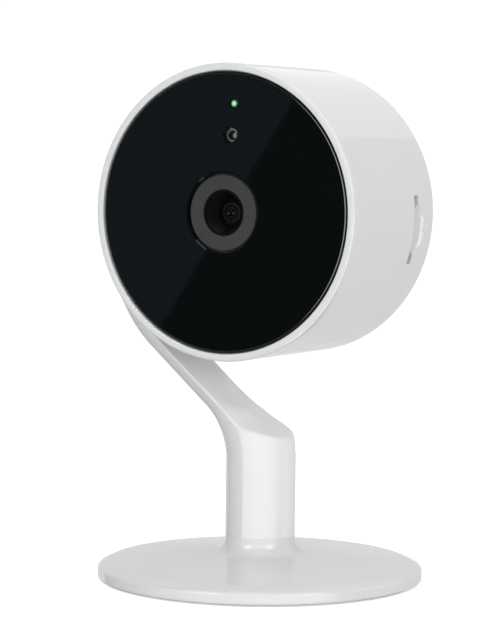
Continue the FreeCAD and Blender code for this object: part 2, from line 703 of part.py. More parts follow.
def main_board():
    low, high = place.main_board_back, place.main_board_front
    body = rod("MainBoard", place.main_board_radius, (0, 0, low), size.board_thick)
    for angle in BOSS_ANGLES:
        across, up = round_at(place.boss_circle, angle)
        bore(body, size.boss_radius + 0.35, (across, up, low - 1), size.board_thick + 2)
    for angle in CARRIER_ANGLES:
        across, up = round_at(place.carrier_post_circle, angle)
        bore(body, size.small_screw + 0.1, (across, up, low - 1), size.board_thick + 2)
    keep_in_head(body, "main_board")
    screws("BoardScrews", "board_screws", [round_at(place.carrier_post_circle,
                                                    angle) for angle in CARRIER_ANGLES],
           keep_in_head, 1.8, 0.9, size.small_screw - 0.05, 6, low)
    half = size.slot_length / 2 - 0.6
    socket_top = high + size.card_socket_thick
    socket = block("CardSocket", (place.card_socket_start, -half, high),
                   (place.card_socket_start + size.card_socket_length, half, socket_top))
    cut_box(socket, (place.card_socket_start + 1, -5.6, place.slot_centre - 0.45),
            (place.card_socket_start + size.card_socket_length + 1, 5.6, place.slot_centre + 0.45))
    keep_in_head(socket, "card_socket")
    processor = block("Processor", (-6.5, -6.5, high), (6.5, 6.5, high + 1.1))
    keep_in_head(processor, "processor")
    spreader = block("Spreader", (-9, -9, high + 1.1), (9, 9, high + 2.1))
    keep_in_head(spreader, "heat_spreader")
    antenna = block("Antenna", (-24, -4, high), (-18.5, 9, high + 0.8))
    keep_in_head(antenna, "wifi_antenna")
    microphone = block("Microphone", (size.microphone_place - 1.6, size.port_height - 7.2, low - 1),
                       (size.microphone_place + 1.6, size.port_height - 4.8, low))
    keep_in_head(microphone, "microphone")
    button_foot = place.rear_inside + size.flange_thick + size.fit + size.button_travel
    switch = block("ResetSwitch", (-size.button_offset - 2, size.port_height - 2, button_foot + 0.3),
                   (-size.button_offset + 2, size.port_height + 2, low))
    keep_in_head(switch, "reset_switch")
    half_wide, half_tall = size.usb_width / 2 + 0.7, size.usb_height / 2 + 0.7
    usb = block("UsbSocket", (size.button_offset - half_wide, size.port_height - half_tall,
                              place.rear_face + 0.3),
                (size.button_offset + half_wide, size.port_height + half_tall, low))
    cut_box(usb, (size.button_offset - size.usb_width / 2, size.port_height - size.usb_height / 2,
                  place.rear_face - 1),
            (size.button_offset + size.usb_width / 2, size.port_height + size.usb_height / 2, low - 1))
    add_box(usb, (size.button_offset - size.usb_width / 2 + 0.9, size.port_height - 0.3,
                  place.rear_face + 1),
            (size.button_offset + size.usb_width / 2 - 0.9, size.port_height + 0.3, low - 0.5))
    keep_in_head(usb, "charging_socket")
    ribbon = block("Ribbon", (-5, 10.4, high), (5, 11.4, place.sensor_board_back - 0.3))
    add_box(ribbon, (-5, 8, place.sensor_board_back - 0.3), (5, 11.4, place.sensor_board_back))
    keep_in_head(ribbon, "board_ribbon")


def reset_button():
    """A push button: its cap stands in the rear cover's hole and its flange behind it."""
    low = place.rear_face + 0.1
    shelf = place.rear_inside + size.fit
    body = turned("ResetButton", [
        (0, low), (size.button_radius - 0.3, low), (size.button_radius, low + 0.3), (size.button_radius,
                shelf),
        (size.button_radius + 0.8, shelf), (size.button_radius + 0.8, shelf + size.flange_thick),
        (0, shelf + size.flange_thick)])
    keep_moved(body, "reset_button", (-size.button_offset, size.port_height, 0))


def speaker():
    high = place.rear_inside + 0.4 + size.speaker_thick
    low = place.rear_inside + 0.4
    body = turned("Speaker", [
        (0, low + 1.2), (size.speaker_radius * 0.45, low + 0.9), (size.speaker_radius * 0.8, low + 0.3),
        (size.speaker_radius - 1, low + 0.6), (size.speaker_radius - 1, low), (size.speaker_radius, low),
        (size.speaker_radius, low + 1.4), (size.speaker_radius * 0.6, high), (0, high)])
    gasket = ring("SpeakerGasket", size.speaker_radius - 1.2, size.speaker_radius, place.rear_inside, low)
    keep_moved(body, "speaker", (0, size.speaker_height, 0))
    keep_moved(gasket, "speaker_gasket", (0, size.speaker_height, 0))


# ---- head: lens -------------------------------------------------------------------------------------
def lens_front():
    keep_in_head(turned("LensRing", [
        (size.ring_bore_radius, place.carrier_back), (size.ring_flange_radius, place.carrier_back),
        (size.ring_flange_radius, place.window_back - size.fit), (size.ring_radius,
                                                                  place.window_back - size.fit),
        (size.ring_radius, place.ring_face - 0.25), (size.ring_radius - 0.25, place.ring_face),
        (size.ring_bore_radius, place.ring_face)]), "lens_ring")
    outer = size.ring_bore_radius - size.fit
    low = place.eye_front + size.fit
    keep_in_head(turned("Baffle", [
        (size.eye_radius, low), (outer, low), (outer, place.ring_face - 0.3), (outer - 0.35,
                place.ring_face - 0.3),
        (size.eye_radius, low + 0.35)]), "lens_baffle")


def lens_barrel():
    eye = size.eye_radius
    rise = 0.8
    front, back, shelf = place.eye_front, place.lens_back, place.thread_front
    keep_in_head(turned("LensBarrel", [
        (eye + size.fit, front), (size.lens_head_radius, front), (size.lens_head_radius, shelf),
        (size.lens_thread_radius, shelf), (size.lens_thread_radius, back), (3.4, back), (3.4, back + 2.2),
        (2.0, back + 2.2), (2.0, shelf - 3), (3.9, shelf - 3), (3.9, front - 2.4), (eye + size.fit,
                front - 2.4)]),
        "lens_barrel")
    keep_in_head(turned("FrontGlass", [
        (0, front - 2.3), (eye, front - 2.3), (eye, front - 0.1 - rise),
        (0, front - 0.1, (eye * eye + rise * rise) / (2 * rise))]), "lens_front_glass")
    keep_in_head(turned("MiddleGlass", [
        (0, shelf - 2.1), (3.8, shelf - 2.9), (3.8, shelf - 1.0), (0, shelf - 0.6)]), "lens_middle_glass")
    keep_in_head(ring("Stop", 1.1, 1.95, shelf - 4.1, shelf - 3.6), "aperture_stop")
    keep_in_head(turned("RearGlass", [
        (0, back + 0.3), (3.3, back + 0.6), (3.3, back + 1.7), (0, back + 2.1)]), "lens_rear_glass")


def lens_holder():
    low, high = place.sensor_board_front, place.holder_top
    half_wide, half_tall = size.holder_width / 2, size.holder_height / 2
    body = block("LensHolder", (-half_wide, -half_tall, low), (half_wide, half_tall, high))
    tube = size.lens_thread_radius + size.holder_wall
    post(body, tube, (0, 0, high - 0.5), place.thread_front - 1.2 - high + 0.5)
    bore(body, size.lens_thread_radius + size.fit, (0, 0, high - 2), place.thread_front - high + 3)
    wall = 1.2
    cut_box(body, (wall - half_wide, wall - half_tall, low - 1),
            (half_wide - wall, half_tall - wall, high - 1.3))
    keep_in_head(body, "lens_holder")


def filter_frame():
    """Two filter glasses in a sliding frame: one in front of the sensor by day, the other at night."""
    low = place.sensor_board_front + 2.2
    reach = size.filter_size / 2
    rail = 0.9
    span = size.filter_travel
    start = -reach - rail
    frame = block("FilterFrame", (start, -reach - rail, low), (start + span + size.filter_size + rail * 2,
                                                               reach + rail, low + 1))
    for number in (0, 1):
        middle = span * number
        cut_box(frame, (middle - reach - size.fit, -reach - size.fit, low + 0.3),
                (middle + reach + size.fit, reach + size.fit, low + 2))
        cut_box(frame, (middle - reach + 0.5, 0.5 - reach, low - 1),
                (middle + reach - 0.5, reach - 0.5, low + 1))
    keep_in_head(frame, "ir_cut_frame")
    for number, name, label in ((0, "CutGlass", "ir_cut_glass"), (1, "ClearGlass", "clear_glass")):
        middle = span * number
        glass = block(name, (middle - reach, -reach, low + 0.3),
                      (middle + reach, reach, low + 0.3 + size.filter_thick))
        keep_in_head(glass, label)
    half_wide = size.holder_width / 2 - 1.2
    coil = block("Coil", (-half_wide + 0.1, -2.5, place.holder_top - 3.0),
                 (-half_wide + 3.1, 2.5, place.holder_top - 1.4))
    keep_in_head(coil, "ir_cut_coil")


def sensor_board():
    low, high = place.sensor_board_back, place.sensor_board_front
    body = block("SensorBoard", (-14, -10, low), (14, 10, high))
    keep_in_head(body, "sensor_board")
    keep_in_head(block("ImageSensor", (-4, -3.5, high), (4, 3.5, high + 1.3)), "image_sensor")


# ---- ball joint: these are turned round the tilt axis, zero at the ball, +Z into the head -------------
def ball_stud():
    ball, neck = size.ball_radius, size.neck_radius
    meet = root(ball * ball - neck * neck)
    collar = place.arm_inside - place.ball_across
    inner = collar + size.fit
    bottom = place.web_outside - place.ball_across + 0.2
    body = turned("BallStud", [
        (0, bottom), (neck, bottom), (neck, inner), (size.collar_radius, inner),
        (size.collar_radius, inner + size.collar_thick), (neck, inner + size.collar_thick), (neck, -meet),
        (0, ball, ball)])
    bore(body, size.small_screw, (0, 0, bottom - 1), 4.5)
    keep_on_pivot(body, "ball_stud")


def socket():
    """The ball's seat: a nylon liner in the barrel, a cup that a spring presses on the ball, and a cap."""
    play = size.ball_radius + size.ball_play
    outer, lip = place.liner_radius, place.liner_front
    mouth = lip - 0.5
    opening = root(play * play - mouth * mouth)
    at = (-place.ball_reach, 0, 0)
    keep_moved(turned("Liner", [
        (outer, 0), (play, 0), (opening, -mouth, -play), (opening + 0.25, -lip), (outer, -lip)]),
        "socket_liner", at, "x")
    start = 0.3
    cup_back = place.cup_back
    cup_radius = outer - size.fit
    keep_moved(turned("Cup", [
        (0, play, play), (0, cup_back), (cup_radius, cup_back), (cup_radius, start),
        (root(play * play - start * start), start)]), "friction_cup", at, "x")
    roof = place.cap_back - size.cap_roof
    keep_moved(ring("CupSpring", 2.0, cup_radius - 0.5, cup_back, roof), "friction_spring", at, "x")
    bore_radius = outer + size.fit
    cap = turned("SocketCap", [
        (0, place.cap_back), (0, roof), (bore_radius, roof), (bore_radius, size.socket_inward),
        (place.socket_radius, size.socket_inward), (place.socket_radius, place.cap_back)])
    for side in (-1, 1):
        bore(cap, size.small_screw + 0.05, (0, side * place.socket_screw_place, 0), place.cap_back + 1)
    keep_moved(cap, "socket_cap", at, "x")
    parts = []
    for side in (-1, 1):
        body = screw(f"SocketScrew{side + 1}", 1.1, 0.7, size.small_screw - 0.05,
                     (place.cap_back - size.socket_inward) + 3, 0)
        body.Placement = Placement(Vector(), ALONG["back x"])
        put(body, (place.cap_back - place.ball_reach, side * place.socket_screw_place, 0))
        parts.append(body)
    keep_in_head(joined("SocketScrews", "Part::Compound", parts), "socket_screws")


# ---- arm --------------------------------------------------------------------------------------------
def arm():
    """A round bar that bends aside and up, with its head side cut flat along the bends."""
    sin_slant, cos_slant = sine(size.slant), cosine(size.slant)
    top = size.pivot_height + size.post_radius * 2
    foot = size.foot_height + size.seam
    high_end = (place.arm_axis + place.high_tangent * cos_slant,
                place.high_knee - place.high_tangent * sin_slant)
    high_turn_top = place.high_knee + place.high_tangent
    bar = doc.addObject("PartDesign::Body", "ArmBar")
    path = outline(bar, "XZ_Plane", [
        (0, foot), (0, place.knee_height - place.low_tangent),
        (-place.low_tangent * cos_slant, place.knee_height + place.low_tangent * sin_slant,
         size.low_bend_radius),
        high_end, (place.arm_axis, high_turn_top, -size.high_bend_radius), (place.arm_axis,
                top)], closed=False)
    circle = bar.newObject("Sketcher::SketchObject", "Section")
    circle.AttachmentSupport = [(plane_of(bar, "XY_Plane"), "")]
    circle.MapMode = "FlatFace"
    circle.setExpression("AttachmentOffset.Base.z", foot.text)
    circle.addGeometry(Part.Circle(Vector(), Vector(0, 0, 1), size.post_radius.value), False)
    circle.addConstraint([Sketcher.Constraint("Coincident", 0, 3, -1, 1),
                          Sketcher.Constraint("Radius", 0, size.post_radius.value)])
    circle.setExpression("Constraints[1]", size.post_radius.text)
    pipe = bar.newObject("PartDesign::AdditivePipe", "Pipe")
    pipe.Profile = circle
    pipe.Spine = path
    bar.Tip = pipe

    # the tip is round about the tilt axis
    wide = size.post_radius * 4
    lower = doc.addObject("Part::Box", "ArmBelowTip")
    low_corner = (-wide * 2, -wide, 0)
    tie(lower, **box_sizes(low_corner, (wide, wide, size.pivot_height)))
    put(lower, low_corner)
    tip = doc.addObject("Part::Cylinder", "ArmTip")
    tie(tip, Radius=size.post_radius, Height=wide * 3)
    tip.Placement = Placement(Vector(), ALONG["x"])
    put(tip, (-wide * 2, 0, size.pivot_height))
    limit = joined("ArmLimit", "Part::MultiFuse", [lower, tip])
    limited = doc.addObject("Part::Common", "ArmRound")
    limited.Base, limited.Tool = bar, limit

    # the flat that faces the head: a short run over the post, the slope, a bend and the upright
    bend = size.shoulder_round * tangent((size.slant - size.shoulder_slope) / 2)
    corner_up = place.flat_level - size.shoulder_place * tangent(size.slant)
    far_up = corner_up - (wide - size.shoulder_place) * tangent(size.shoulder_slope)
    inside = extruded("ArmInside", [
        (wide, far_up), (wide, top + 1), (place.arm_inside, top + 1), (place.arm_inside, high_turn_top),
        (high_end[0] - place.flat_offset * sin_slant, high_end[1] - place.flat_offset * cos_slant,
         size.high_bend_radius + place.flat_offset),
        (size.shoulder_place - bend * cos_slant, corner_up + bend * sin_slant),
        (size.shoulder_place + bend * cosine(size.shoulder_slope),
         corner_up - bend * sine(size.shoulder_slope),
         size.shoulder_round)], -wide, wide, "XZ_Plane")
    flat = cut_from("ArmFlat", limited, inside)

    # holes along the tilt axis, and the spigot that turns in the base
    holes = []
    for name, radius, start, length in (
            ("ArmBushHole", place.bush_radius + size.fit, place.web_outside - 1, size.web_thick + 2),
            ("ArmScrewHole", size.plug_radius + size.fit, place.web_outside - wide, wide)):
        hole = doc.addObject("Part::Cylinder", name)
        tie(hole, Radius=radius, Height=length)
        hole.Placement = Placement(Vector(), ALONG["x"])
        put(hole, (start, 0, size.pivot_height))
        holes.append(hole)
    spigot = rod("Spigot", place.spigot_radius, (0, 0, place.spigot_end), foot + 1 - place.spigot_end)
    screw_hole = doc.addObject("Part::Cylinder", "SwivelScrewHole")
    tie(screw_hole, Radius=size.swivel_screw, Height=9)
    put(screw_hole, (0, 0, place.spigot_end - 1))
    blank = joined("ArmWithSpigot", "Part::MultiFuse", [flat, spigot])
    shaped = cut_from("Arm", blank, joined("ArmHoles", "Part::MultiFuse", holes + [screw_hole]))
    keep(shaped, "arm")

    plug_bar = rod("PlugBar", size.plug_radius, (place.plug_inside - wide, 0, size.pivot_height), wide, "x")
    plug = doc.addObject("Part::Common", "TiltPlug")
    plug.Base, plug.Tool = plug_bar, limited
    keep(plug, "tilt_plug")
    inside_end = place.arm_inside - place.ball_across
    outside_end = place.web_outside - place.ball_across
    washer_end = place.washer_outside - place.ball_across
    keep_on_pivot(ring("TiltBush", size.neck_radius + size.fit, place.bush_radius, outside_end,
                       inside_end), "tilt_bush")
    keep_on_pivot(ring("TiltWasher", 1.2, size.plug_radius - 0.3, washer_end, outside_end), "tilt_washer")
    keep_on_pivot(screw("TiltScrew", size.plug_radius - 0.4, size.tilt_screw_thick,
                        size.small_screw - 0.05, 3.6, washer_end), "tilt_screw")


# ---- base -------------------------------------------------------------------------------------------
def base():
    radius, post_side = size.base_radius, size.post_radius
    inner = radius - size.cover_wall
    foot = post_side + size.foot_flare
    flare_start = size.dome_height + size.foot_fillet
    flare_rise = size.foot_height - flare_start
    hole = place.spigot_radius + size.fit
    flare = (size.foot_flare * size.foot_flare + flare_rise * flare_rise) / (2 * size.foot_flare)
    cover = turned("BaseCover", [
        (hole, place.cover_inside), (inner, place.cover_inside), (inner, size.rim_lift),
        (radius - size.rim_bevel + size.rim_lift, size.rim_lift), (radius, size.rim_bevel),
        (radius, size.rim_side), (radius - size.rim_in, size.rim_height, 4.3),
        (foot + size.foot_fillet, size.dome_height, 250),
        (foot, flare_start, -size.foot_fillet), (post_side, size.foot_height, -flare), (hole,
                size.foot_height)])
    for angle in (45, 135, 225, 315):
        across, up = round_at(size.base_screw_circle, angle)
        bore(cover, size.screw_radius - 0.2, (across, up, place.cover_inside - 1), 2.1)
    keep(cover, "base_cover")

    weight = ring("BaseWeight", size.retainer_radius + 0.6, inner - 2, place.plate_top,
                  place.plate_top + size.weight_thick)
    plate = ring("BasePlate", size.retainer_radius + 0.6, inner - size.seam, size.pad_thick,
                 place.plate_top)
    for angle in (45, 135, 225, 315):
        across, up = round_at(size.base_screw_circle, angle)
        bore(weight, size.screw_radius, (across, up, place.plate_top - 1), size.weight_thick + 2)
        bore(plate, size.screw_radius, (across, up, 0), place.plate_top + 1)
        bore(plate, 2.0, (across, up, 0), size.pad_thick + 0.6)
    keep(weight, "base_weight")
    keep(plate, "base_plate")
    keep(rod("FootPad", place.pad_radius, (0, 0, 0), size.pad_thick), "foot_pad")
    screws("BaseScrews", "base_screws", [round_at(size.base_screw_circle, angle) for angle in (45, 135,
            225, 315)],
           keep, 1.9, 0.55, size.screw_radius - 0.25, 2.4, size.pad_thick + 0.6)

    end = place.spigot_end
    keep(ring("WaveSpring", place.spigot_radius + 0.15, size.retainer_radius - 0.2, end + 0.02,
              place.cover_inside - 0.02), "swivel_spring")
    keep(ring("Retainer", size.swivel_screw + 0.1, size.retainer_radius, end - size.retainer_thick, end),
         "swivel_retainer")
    keep(screw("SwivelScrew", 2.8, 0.6, size.swivel_screw - 0.05, 7, end - size.retainer_thick),
         "swivel_screw")


barrel_shell()
window()
front_carrier()
light_pipes()
light_board()
lens_front()
lens_barrel()
lens_holder()
filter_frame()
sensor_board()
main_board()
reset_button()
speaker()
rear_cover()
socket()
ball_stud()
arm()
base()
doc.recompute()

# ---- checks and files -------------------------------------------------------------------------------
for thing in doc.Objects:
    if {"Invalid", "Error"} & set(thing.State):
        raise RuntimeError(f"{thing.Name} ({thing.Label}) did not rebuild: {thing.State}")
os.makedirs("parts", exist_ok=True)
for thing in pieces:
    if thing.Shape.isNull() or not thing.Shape.isValid() or not thing.Shape.Solids:
        raise RuntimeError(f"{thing.Label} has no valid shape")
    thing.Shape.exportStep(f"parts/{thing.Label}.step")
print(len(pieces), "pieces written")
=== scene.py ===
import json
import math

import bmesh
import bpy
import numpy as np
from mathutils import Matrix, Vector


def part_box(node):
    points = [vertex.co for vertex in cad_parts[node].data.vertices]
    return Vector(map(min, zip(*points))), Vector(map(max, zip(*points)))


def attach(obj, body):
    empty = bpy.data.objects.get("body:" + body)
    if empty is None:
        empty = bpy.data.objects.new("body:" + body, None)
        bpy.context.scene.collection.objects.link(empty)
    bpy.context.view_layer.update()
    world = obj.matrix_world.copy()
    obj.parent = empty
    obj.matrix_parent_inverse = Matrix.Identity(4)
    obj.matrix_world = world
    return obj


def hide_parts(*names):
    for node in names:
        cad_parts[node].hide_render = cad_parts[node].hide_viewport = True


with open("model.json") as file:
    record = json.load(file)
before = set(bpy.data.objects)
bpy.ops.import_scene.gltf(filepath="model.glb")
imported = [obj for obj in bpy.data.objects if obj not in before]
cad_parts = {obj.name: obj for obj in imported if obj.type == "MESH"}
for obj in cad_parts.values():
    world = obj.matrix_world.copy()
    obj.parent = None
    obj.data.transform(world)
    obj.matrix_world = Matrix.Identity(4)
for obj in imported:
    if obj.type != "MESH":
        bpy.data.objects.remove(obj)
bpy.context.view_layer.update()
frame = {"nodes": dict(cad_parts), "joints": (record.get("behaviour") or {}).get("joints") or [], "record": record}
print("frame loaded:", len(frame["nodes"]), "nodes")

mm = 0.001
joints = {joint["name"]: joint for joint in frame["joints"]}


# ---- places taken from the frame ----
def boxOf(node):
    low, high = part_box(node)
    return low / mm, high / mm


ball = Vector(joints["head_swing"]["pos_m"]) / mm
droop = math.radians(joints["head_swing"]["range_deg"][1] / 2)  # the head hangs at one end of its swing
rearLow, rearHigh = boxOf("rear_cover")
barrelLow, barrelHigh = boxOf("barrel_shell")
headMiddle = Vector(((rearLow.x + rearHigh.x) / 2, 0, (rearLow.z + rearHigh.z) / 2))
headDepth = barrelHigh.y - barrelLow.y
headRadius = round(barrelHigh.z - barrelLow.z) / 2
quarterTurn = {axis: Matrix.Rotation(math.pi / 2, 4, axis) for axis in "XYZ"}
headFrame = Matrix.Translation(headMiddle) @ Matrix.Rotation(droop, 4, "Y") @ quarterTurn["X"]
rowFrame = Matrix.Identity(4)
tiltFrame = Matrix.Translation(ball) @ quarterTurn["Y"]
front = {name: -boxOf(name)[0].y for name in frame["nodes"]}  # a head piece's front level along the lens axis
back = {name: -boxOf(name)[1].y for name in frame["nodes"]}


# ---- shader helpers ----
class Socket:
    def __init__(self, shader, socket):
        self.shader, self.socket = shader, socket

    def maths(self, operation, other, swapped=False):
        inputs = (other, self) if swapped else (self, other)
        return self.shader.add("ShaderNodeMath", dict(operation=operation), {0: inputs[0], 1: inputs[1]})

    def __add__(self, other): return self.maths("ADD", other)
    def __radd__(self, other): return self.maths("ADD", other, True)
    def __sub__(self, other): return self.maths("SUBTRACT", other)
    def __rsub__(self, other): return self.maths("SUBTRACT", other, True)
    def __mul__(self, other): return self.maths("MULTIPLY", other)
    def __rmul__(self, other): return self.maths("MULTIPLY", other, True)
    def __truediv__(self, other): return self.maths("DIVIDE", other)
    def __pow__(self, other): return self.maths("POWER", other)
    def __gt__(self, other): return self.maths("GREATER_THAN", other)
    def __lt__(self, other): return self.maths("LESS_THAN", other)


class Shader:
    def __init__(self, name):
        self.material = bpy.data.materials.new(name)
        self.material.use_nodes = True
        self.nodes = self.material.node_tree.nodes
        self.links = self.material.node_tree.links
        self.surface = self.nodes["Principled BSDF"]
        self.place = self.add("ShaderNodeTexCoord", {}, {}, "Object")

    def add(self, kind, settings, values, output=0):
        node = self.nodes.new(kind)
        for setting, value in settings.items():
            if setting == "stops":
                ramp = node.color_ramp
                while len(ramp.elements) < len(value):
                    ramp.elements.new(0.5)
                for element, (position, color) in zip(ramp.elements, value):
                    element.position, element.color = position, color
            else:
                setattr(node, setting, value)
        self.feed(node, values)
        return Socket(self, node.outputs[output])

    def feed(self, node, values):
        for key, value in values.items():
            if isinstance(value, Socket):
                self.links.new(value.socket, node.inputs[key])
            else:
                node.inputs[key].default_value = value

    def noise(self, scale, detail=3, rough=0.5, stretch=None):
        place = self.place
        if stretch:
            place = self.add("ShaderNodeMapping", {}, {"Vector": place, "Scale": stretch})
        values = {"Vector": place, "Scale": scale, "Detail": detail, "Roughness": rough}
        return self.add("ShaderNodeTexNoise", {}, values)

    def window(self, value, start, end, low, high):
        values = {"Value": value, "From Min": start, "From Max": end, "To Min": low, "To Max": high}
        return self.add("ShaderNodeMapRange", {}, values)

    def spread(self, value, low, high):
        return self.window(value, 0.0, 1.0, low, high)

    def sine(self, value):
        return self.add("ShaderNodeMath", dict(operation="SINE"), {0: value})

    def distance(self, middle):
        return self.add("ShaderNodeVectorMath", dict(operation="DISTANCE"), {0: self.place, 1: middle}, 1)

    def blend(self, factor, first, second):
        return self.add("ShaderNodeMix", dict(data_type="RGBA"), {0: factor, 6: first, 7: second}, 2)

    def bump(self, height, depth, strength=1.0):
        return self.add("ShaderNodeBump", {}, {"Strength": strength, "Distance": depth, "Height": height})

    def finish(self, **values):
        self.feed(self.surface, {key.replace("_", " "): value for key, value in values.items()})
        return self.material


def grey(level, tint=(1, 1, 1)):
    return tuple(level * part for part in tint) + (1,)


# ---- materials ----
def makeGlossWhite():
    look = dict(light=grey(0.80, (0.985, 0.995, 1.0)), shade=grey(0.765, (0.985, 0.993, 1.0)),
                gloss=0.03, worn=0.07)
    shader = Shader("gloss white moulded plastic")
    cloud = shader.noise(60, 4, 0.6)
    haze = shader.noise(900, 5, 0.65)
    hairs = shader.noise(420, 2, 0.5, stretch=(1, 14, 1))
    ripple = shader.noise(260, 2, 0.4)
    fine = shader.noise(5200, 2, 0.5)
    scratches = shader.window(hairs, 0.63, 0.7, 0.0, 1.0)
    return shader.finish(
        Base_Color=shader.blend(shader.spread(cloud, 0, 1), look["shade"], look["light"]),
        Roughness=shader.spread(haze, look["gloss"], look["worn"]) + scratches * 0.03,
        Normal=shader.bump(ripple * 0.7 + fine * 0.06, 0.000012, 0.6),
        IOR=1.5)


def makeBlackWindow():
    look = dict(deep=(0.0017, 0.0030, 0.0034, 1), lifted=(0.0021, 0.0036, 0.0040, 1), gloss=0.02, smear=0.035)
    shader = Shader("polished black acrylic")
    cloud = shader.noise(35, 3, 0.5)
    smears = shader.noise(120, 4, 0.6, stretch=(1, 1, 2.5))
    dust = shader.add("ShaderNodeTexVoronoi", {}, {"Vector": shader.place, "Scale": 900.0})
    specks = (dust < 0.035) * shader.window(shader.noise(300, 1), 0.55, 0.6, 0.0, 1.0)
    return shader.finish(
        Base_Color=shader.blend(specks * 0.5, shader.blend(cloud, look["deep"], look["lifted"]), grey(0.03)),
        Roughness=shader.window(smears, 0.45, 0.75, look["gloss"], look["smear"]) + specks * 0.3,
        Normal=shader.bump(shader.noise(200, 2), 0.000004, 0.4), IOR=1.49)


def makeFineMatte(name, dark, light, gloss, grain=2600.0, depth=0.00002, **more):
    shader = Shader(name)
    speckle = shader.noise(grain, 3, 0.6)
    cloud = shader.noise(90, 3, 0.5)
    return shader.finish(
        Base_Color=shader.blend(shader.spread(cloud, 0, 1), dark, light),
        Roughness=shader.spread(speckle, gloss - 0.06, gloss + 0.08),
        Normal=shader.bump(speckle, depth, 0.7), **more)


def makeMetal(name, color, gloss, stretch=(1, 1, 20), grain=700.0):
    shader = Shader(name)
    strokes = shader.noise(grain, 4, 0.6, stretch=stretch)
    cloud = shader.noise(120, 3)
    darker = tuple(part * 0.8 for part in color[:3]) + (1,)
    return shader.finish(
        Base_Color=shader.blend(cloud, darker, color), Metallic=1.0,
        Roughness=shader.spread(strokes, gloss * 0.7, gloss * 1.4),
        Normal=shader.bump(strokes, 0.000006, 0.5))


def makeClear(name, color, gloss, **more):
    shader = Shader(name)
    haze = shader.noise(700, 3)
    return shader.finish(
        Base_Color=shader.blend(haze, color, tuple(part * 0.92 for part in color[:3]) + (1,)),
        Roughness=shader.spread(haze, gloss, gloss + 0.04),
        Normal=shader.bump(haze, 0.000002, 0.3), Transmission_Weight=1.0, **more)


def makeBoard():
    look = dict(mask=(0.006, 0.07, 0.035, 1), track=(0.012, 0.13, 0.06, 1), pad=(0.75, 0.6, 0.3, 1))
    shader = Shader("circuit board")
    courses = {"Vector": shader.place, "Scale": 260.0, "Mortar Size": 0.03, "Brick Width": 0.9,
               "Row Height": 0.35}
    bricks = shader.add("ShaderNodeTexBrick", {}, courses, 1)
    dots = shader.add("ShaderNodeTexVoronoi", dict(feature="F1"), {"Vector": shader.place, "Scale": 420.0})
    pads = (dots < 0.16) * shader.window(shader.noise(160, 1), 0.52, 0.56, 0.0, 1.0)
    color = shader.blend(pads, shader.blend(bricks, look["mask"], look["track"]), look["pad"])
    return shader.finish(Base_Color=color, Roughness=0.35 - pads * 0.1, Metallic=pads * 0.9,
                         Normal=shader.bump(bricks + pads, 0.00003, 0.5))


def makeLensBlack():
    tint = (0.8, 1, 1.1)
    shader = Shader("ribbed lens black")
    position = shader.add("ShaderNodeSeparateXYZ", {}, {"Vector": shader.place}, 1)
    ribs = shader.sine(position * 14000.0)
    speckle = shader.noise(2400, 3)
    return shader.finish(
        Base_Color=shader.blend(speckle, grey(0.003, tint), grey(0.007, tint)),
        Roughness=shader.spread(speckle, 0.38, 0.55),
        Normal=shader.bump(ribs * 0.2 + speckle * 0.2, 0.00001, 0.5))


def makeCoatedGlass(name, middle):
    look = dict(pupil=(0.0012, 0.0012, 0.0018, 1), iris=(0.03, 0.03, 0.032, 1), reach=0.0030)
    shader = Shader(name)
    haze = shader.noise(500, 2)
    away = shader.distance(middle)
    rings = shader.sine(away * 7000.0)
    ringed = shader.window(away, 0.0, look["reach"], 0.0, 1.0) * shader.window(rings, -1.0, 1.0, 0.15, 1.0)
    return shader.finish(
        Base_Color=shader.blend(ringed, look["pupil"], look["iris"]),
        Roughness=shader.spread(haze, 0.03, 0.06), Normal=shader.bump(haze, 0.000001, 0.2), IOR=1.45)


def makeStatusLight(middle):
    look = dict(core=(0.5, 0.92, 0.56, 1), rim=(0.006, 0.05, 0.015, 1), reach=0.00078)
    shader = Shader("lit status light")
    away = shader.distance(middle)
    grain = shader.noise(1500, 2)
    glow = shader.window(away, 0.0, look["reach"], 1.0, 0.0)
    lit = shader.blend(glow * (0.9 + grain * 0.1), look["rim"], look["core"])
    return shader.finish(
        Base_Color=shader.blend(glow, look["rim"], look["core"]), Emission_Color=lit, Emission_Strength=0.5,
        Roughness=shader.spread(grain, 0.15, 0.25), Normal=shader.bump(grain, 0.000005, 0.3))


def makeRubber():
    shader = Shader("matte rubber")
    speckle = shader.noise(1800, 4, 0.7)
    return shader.finish(
        Base_Color=shader.blend(speckle, grey(0.018), grey(0.04)),
        Roughness=shader.spread(speckle, 0.7, 0.9), Normal=shader.bump(speckle, 0.00006, 0.6))


def middleOf(node):
    # the middle of a node's front face
    low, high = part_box(node)
    return ((low.x + high.x) / 2, low.y, (low.z + high.z) / 2)


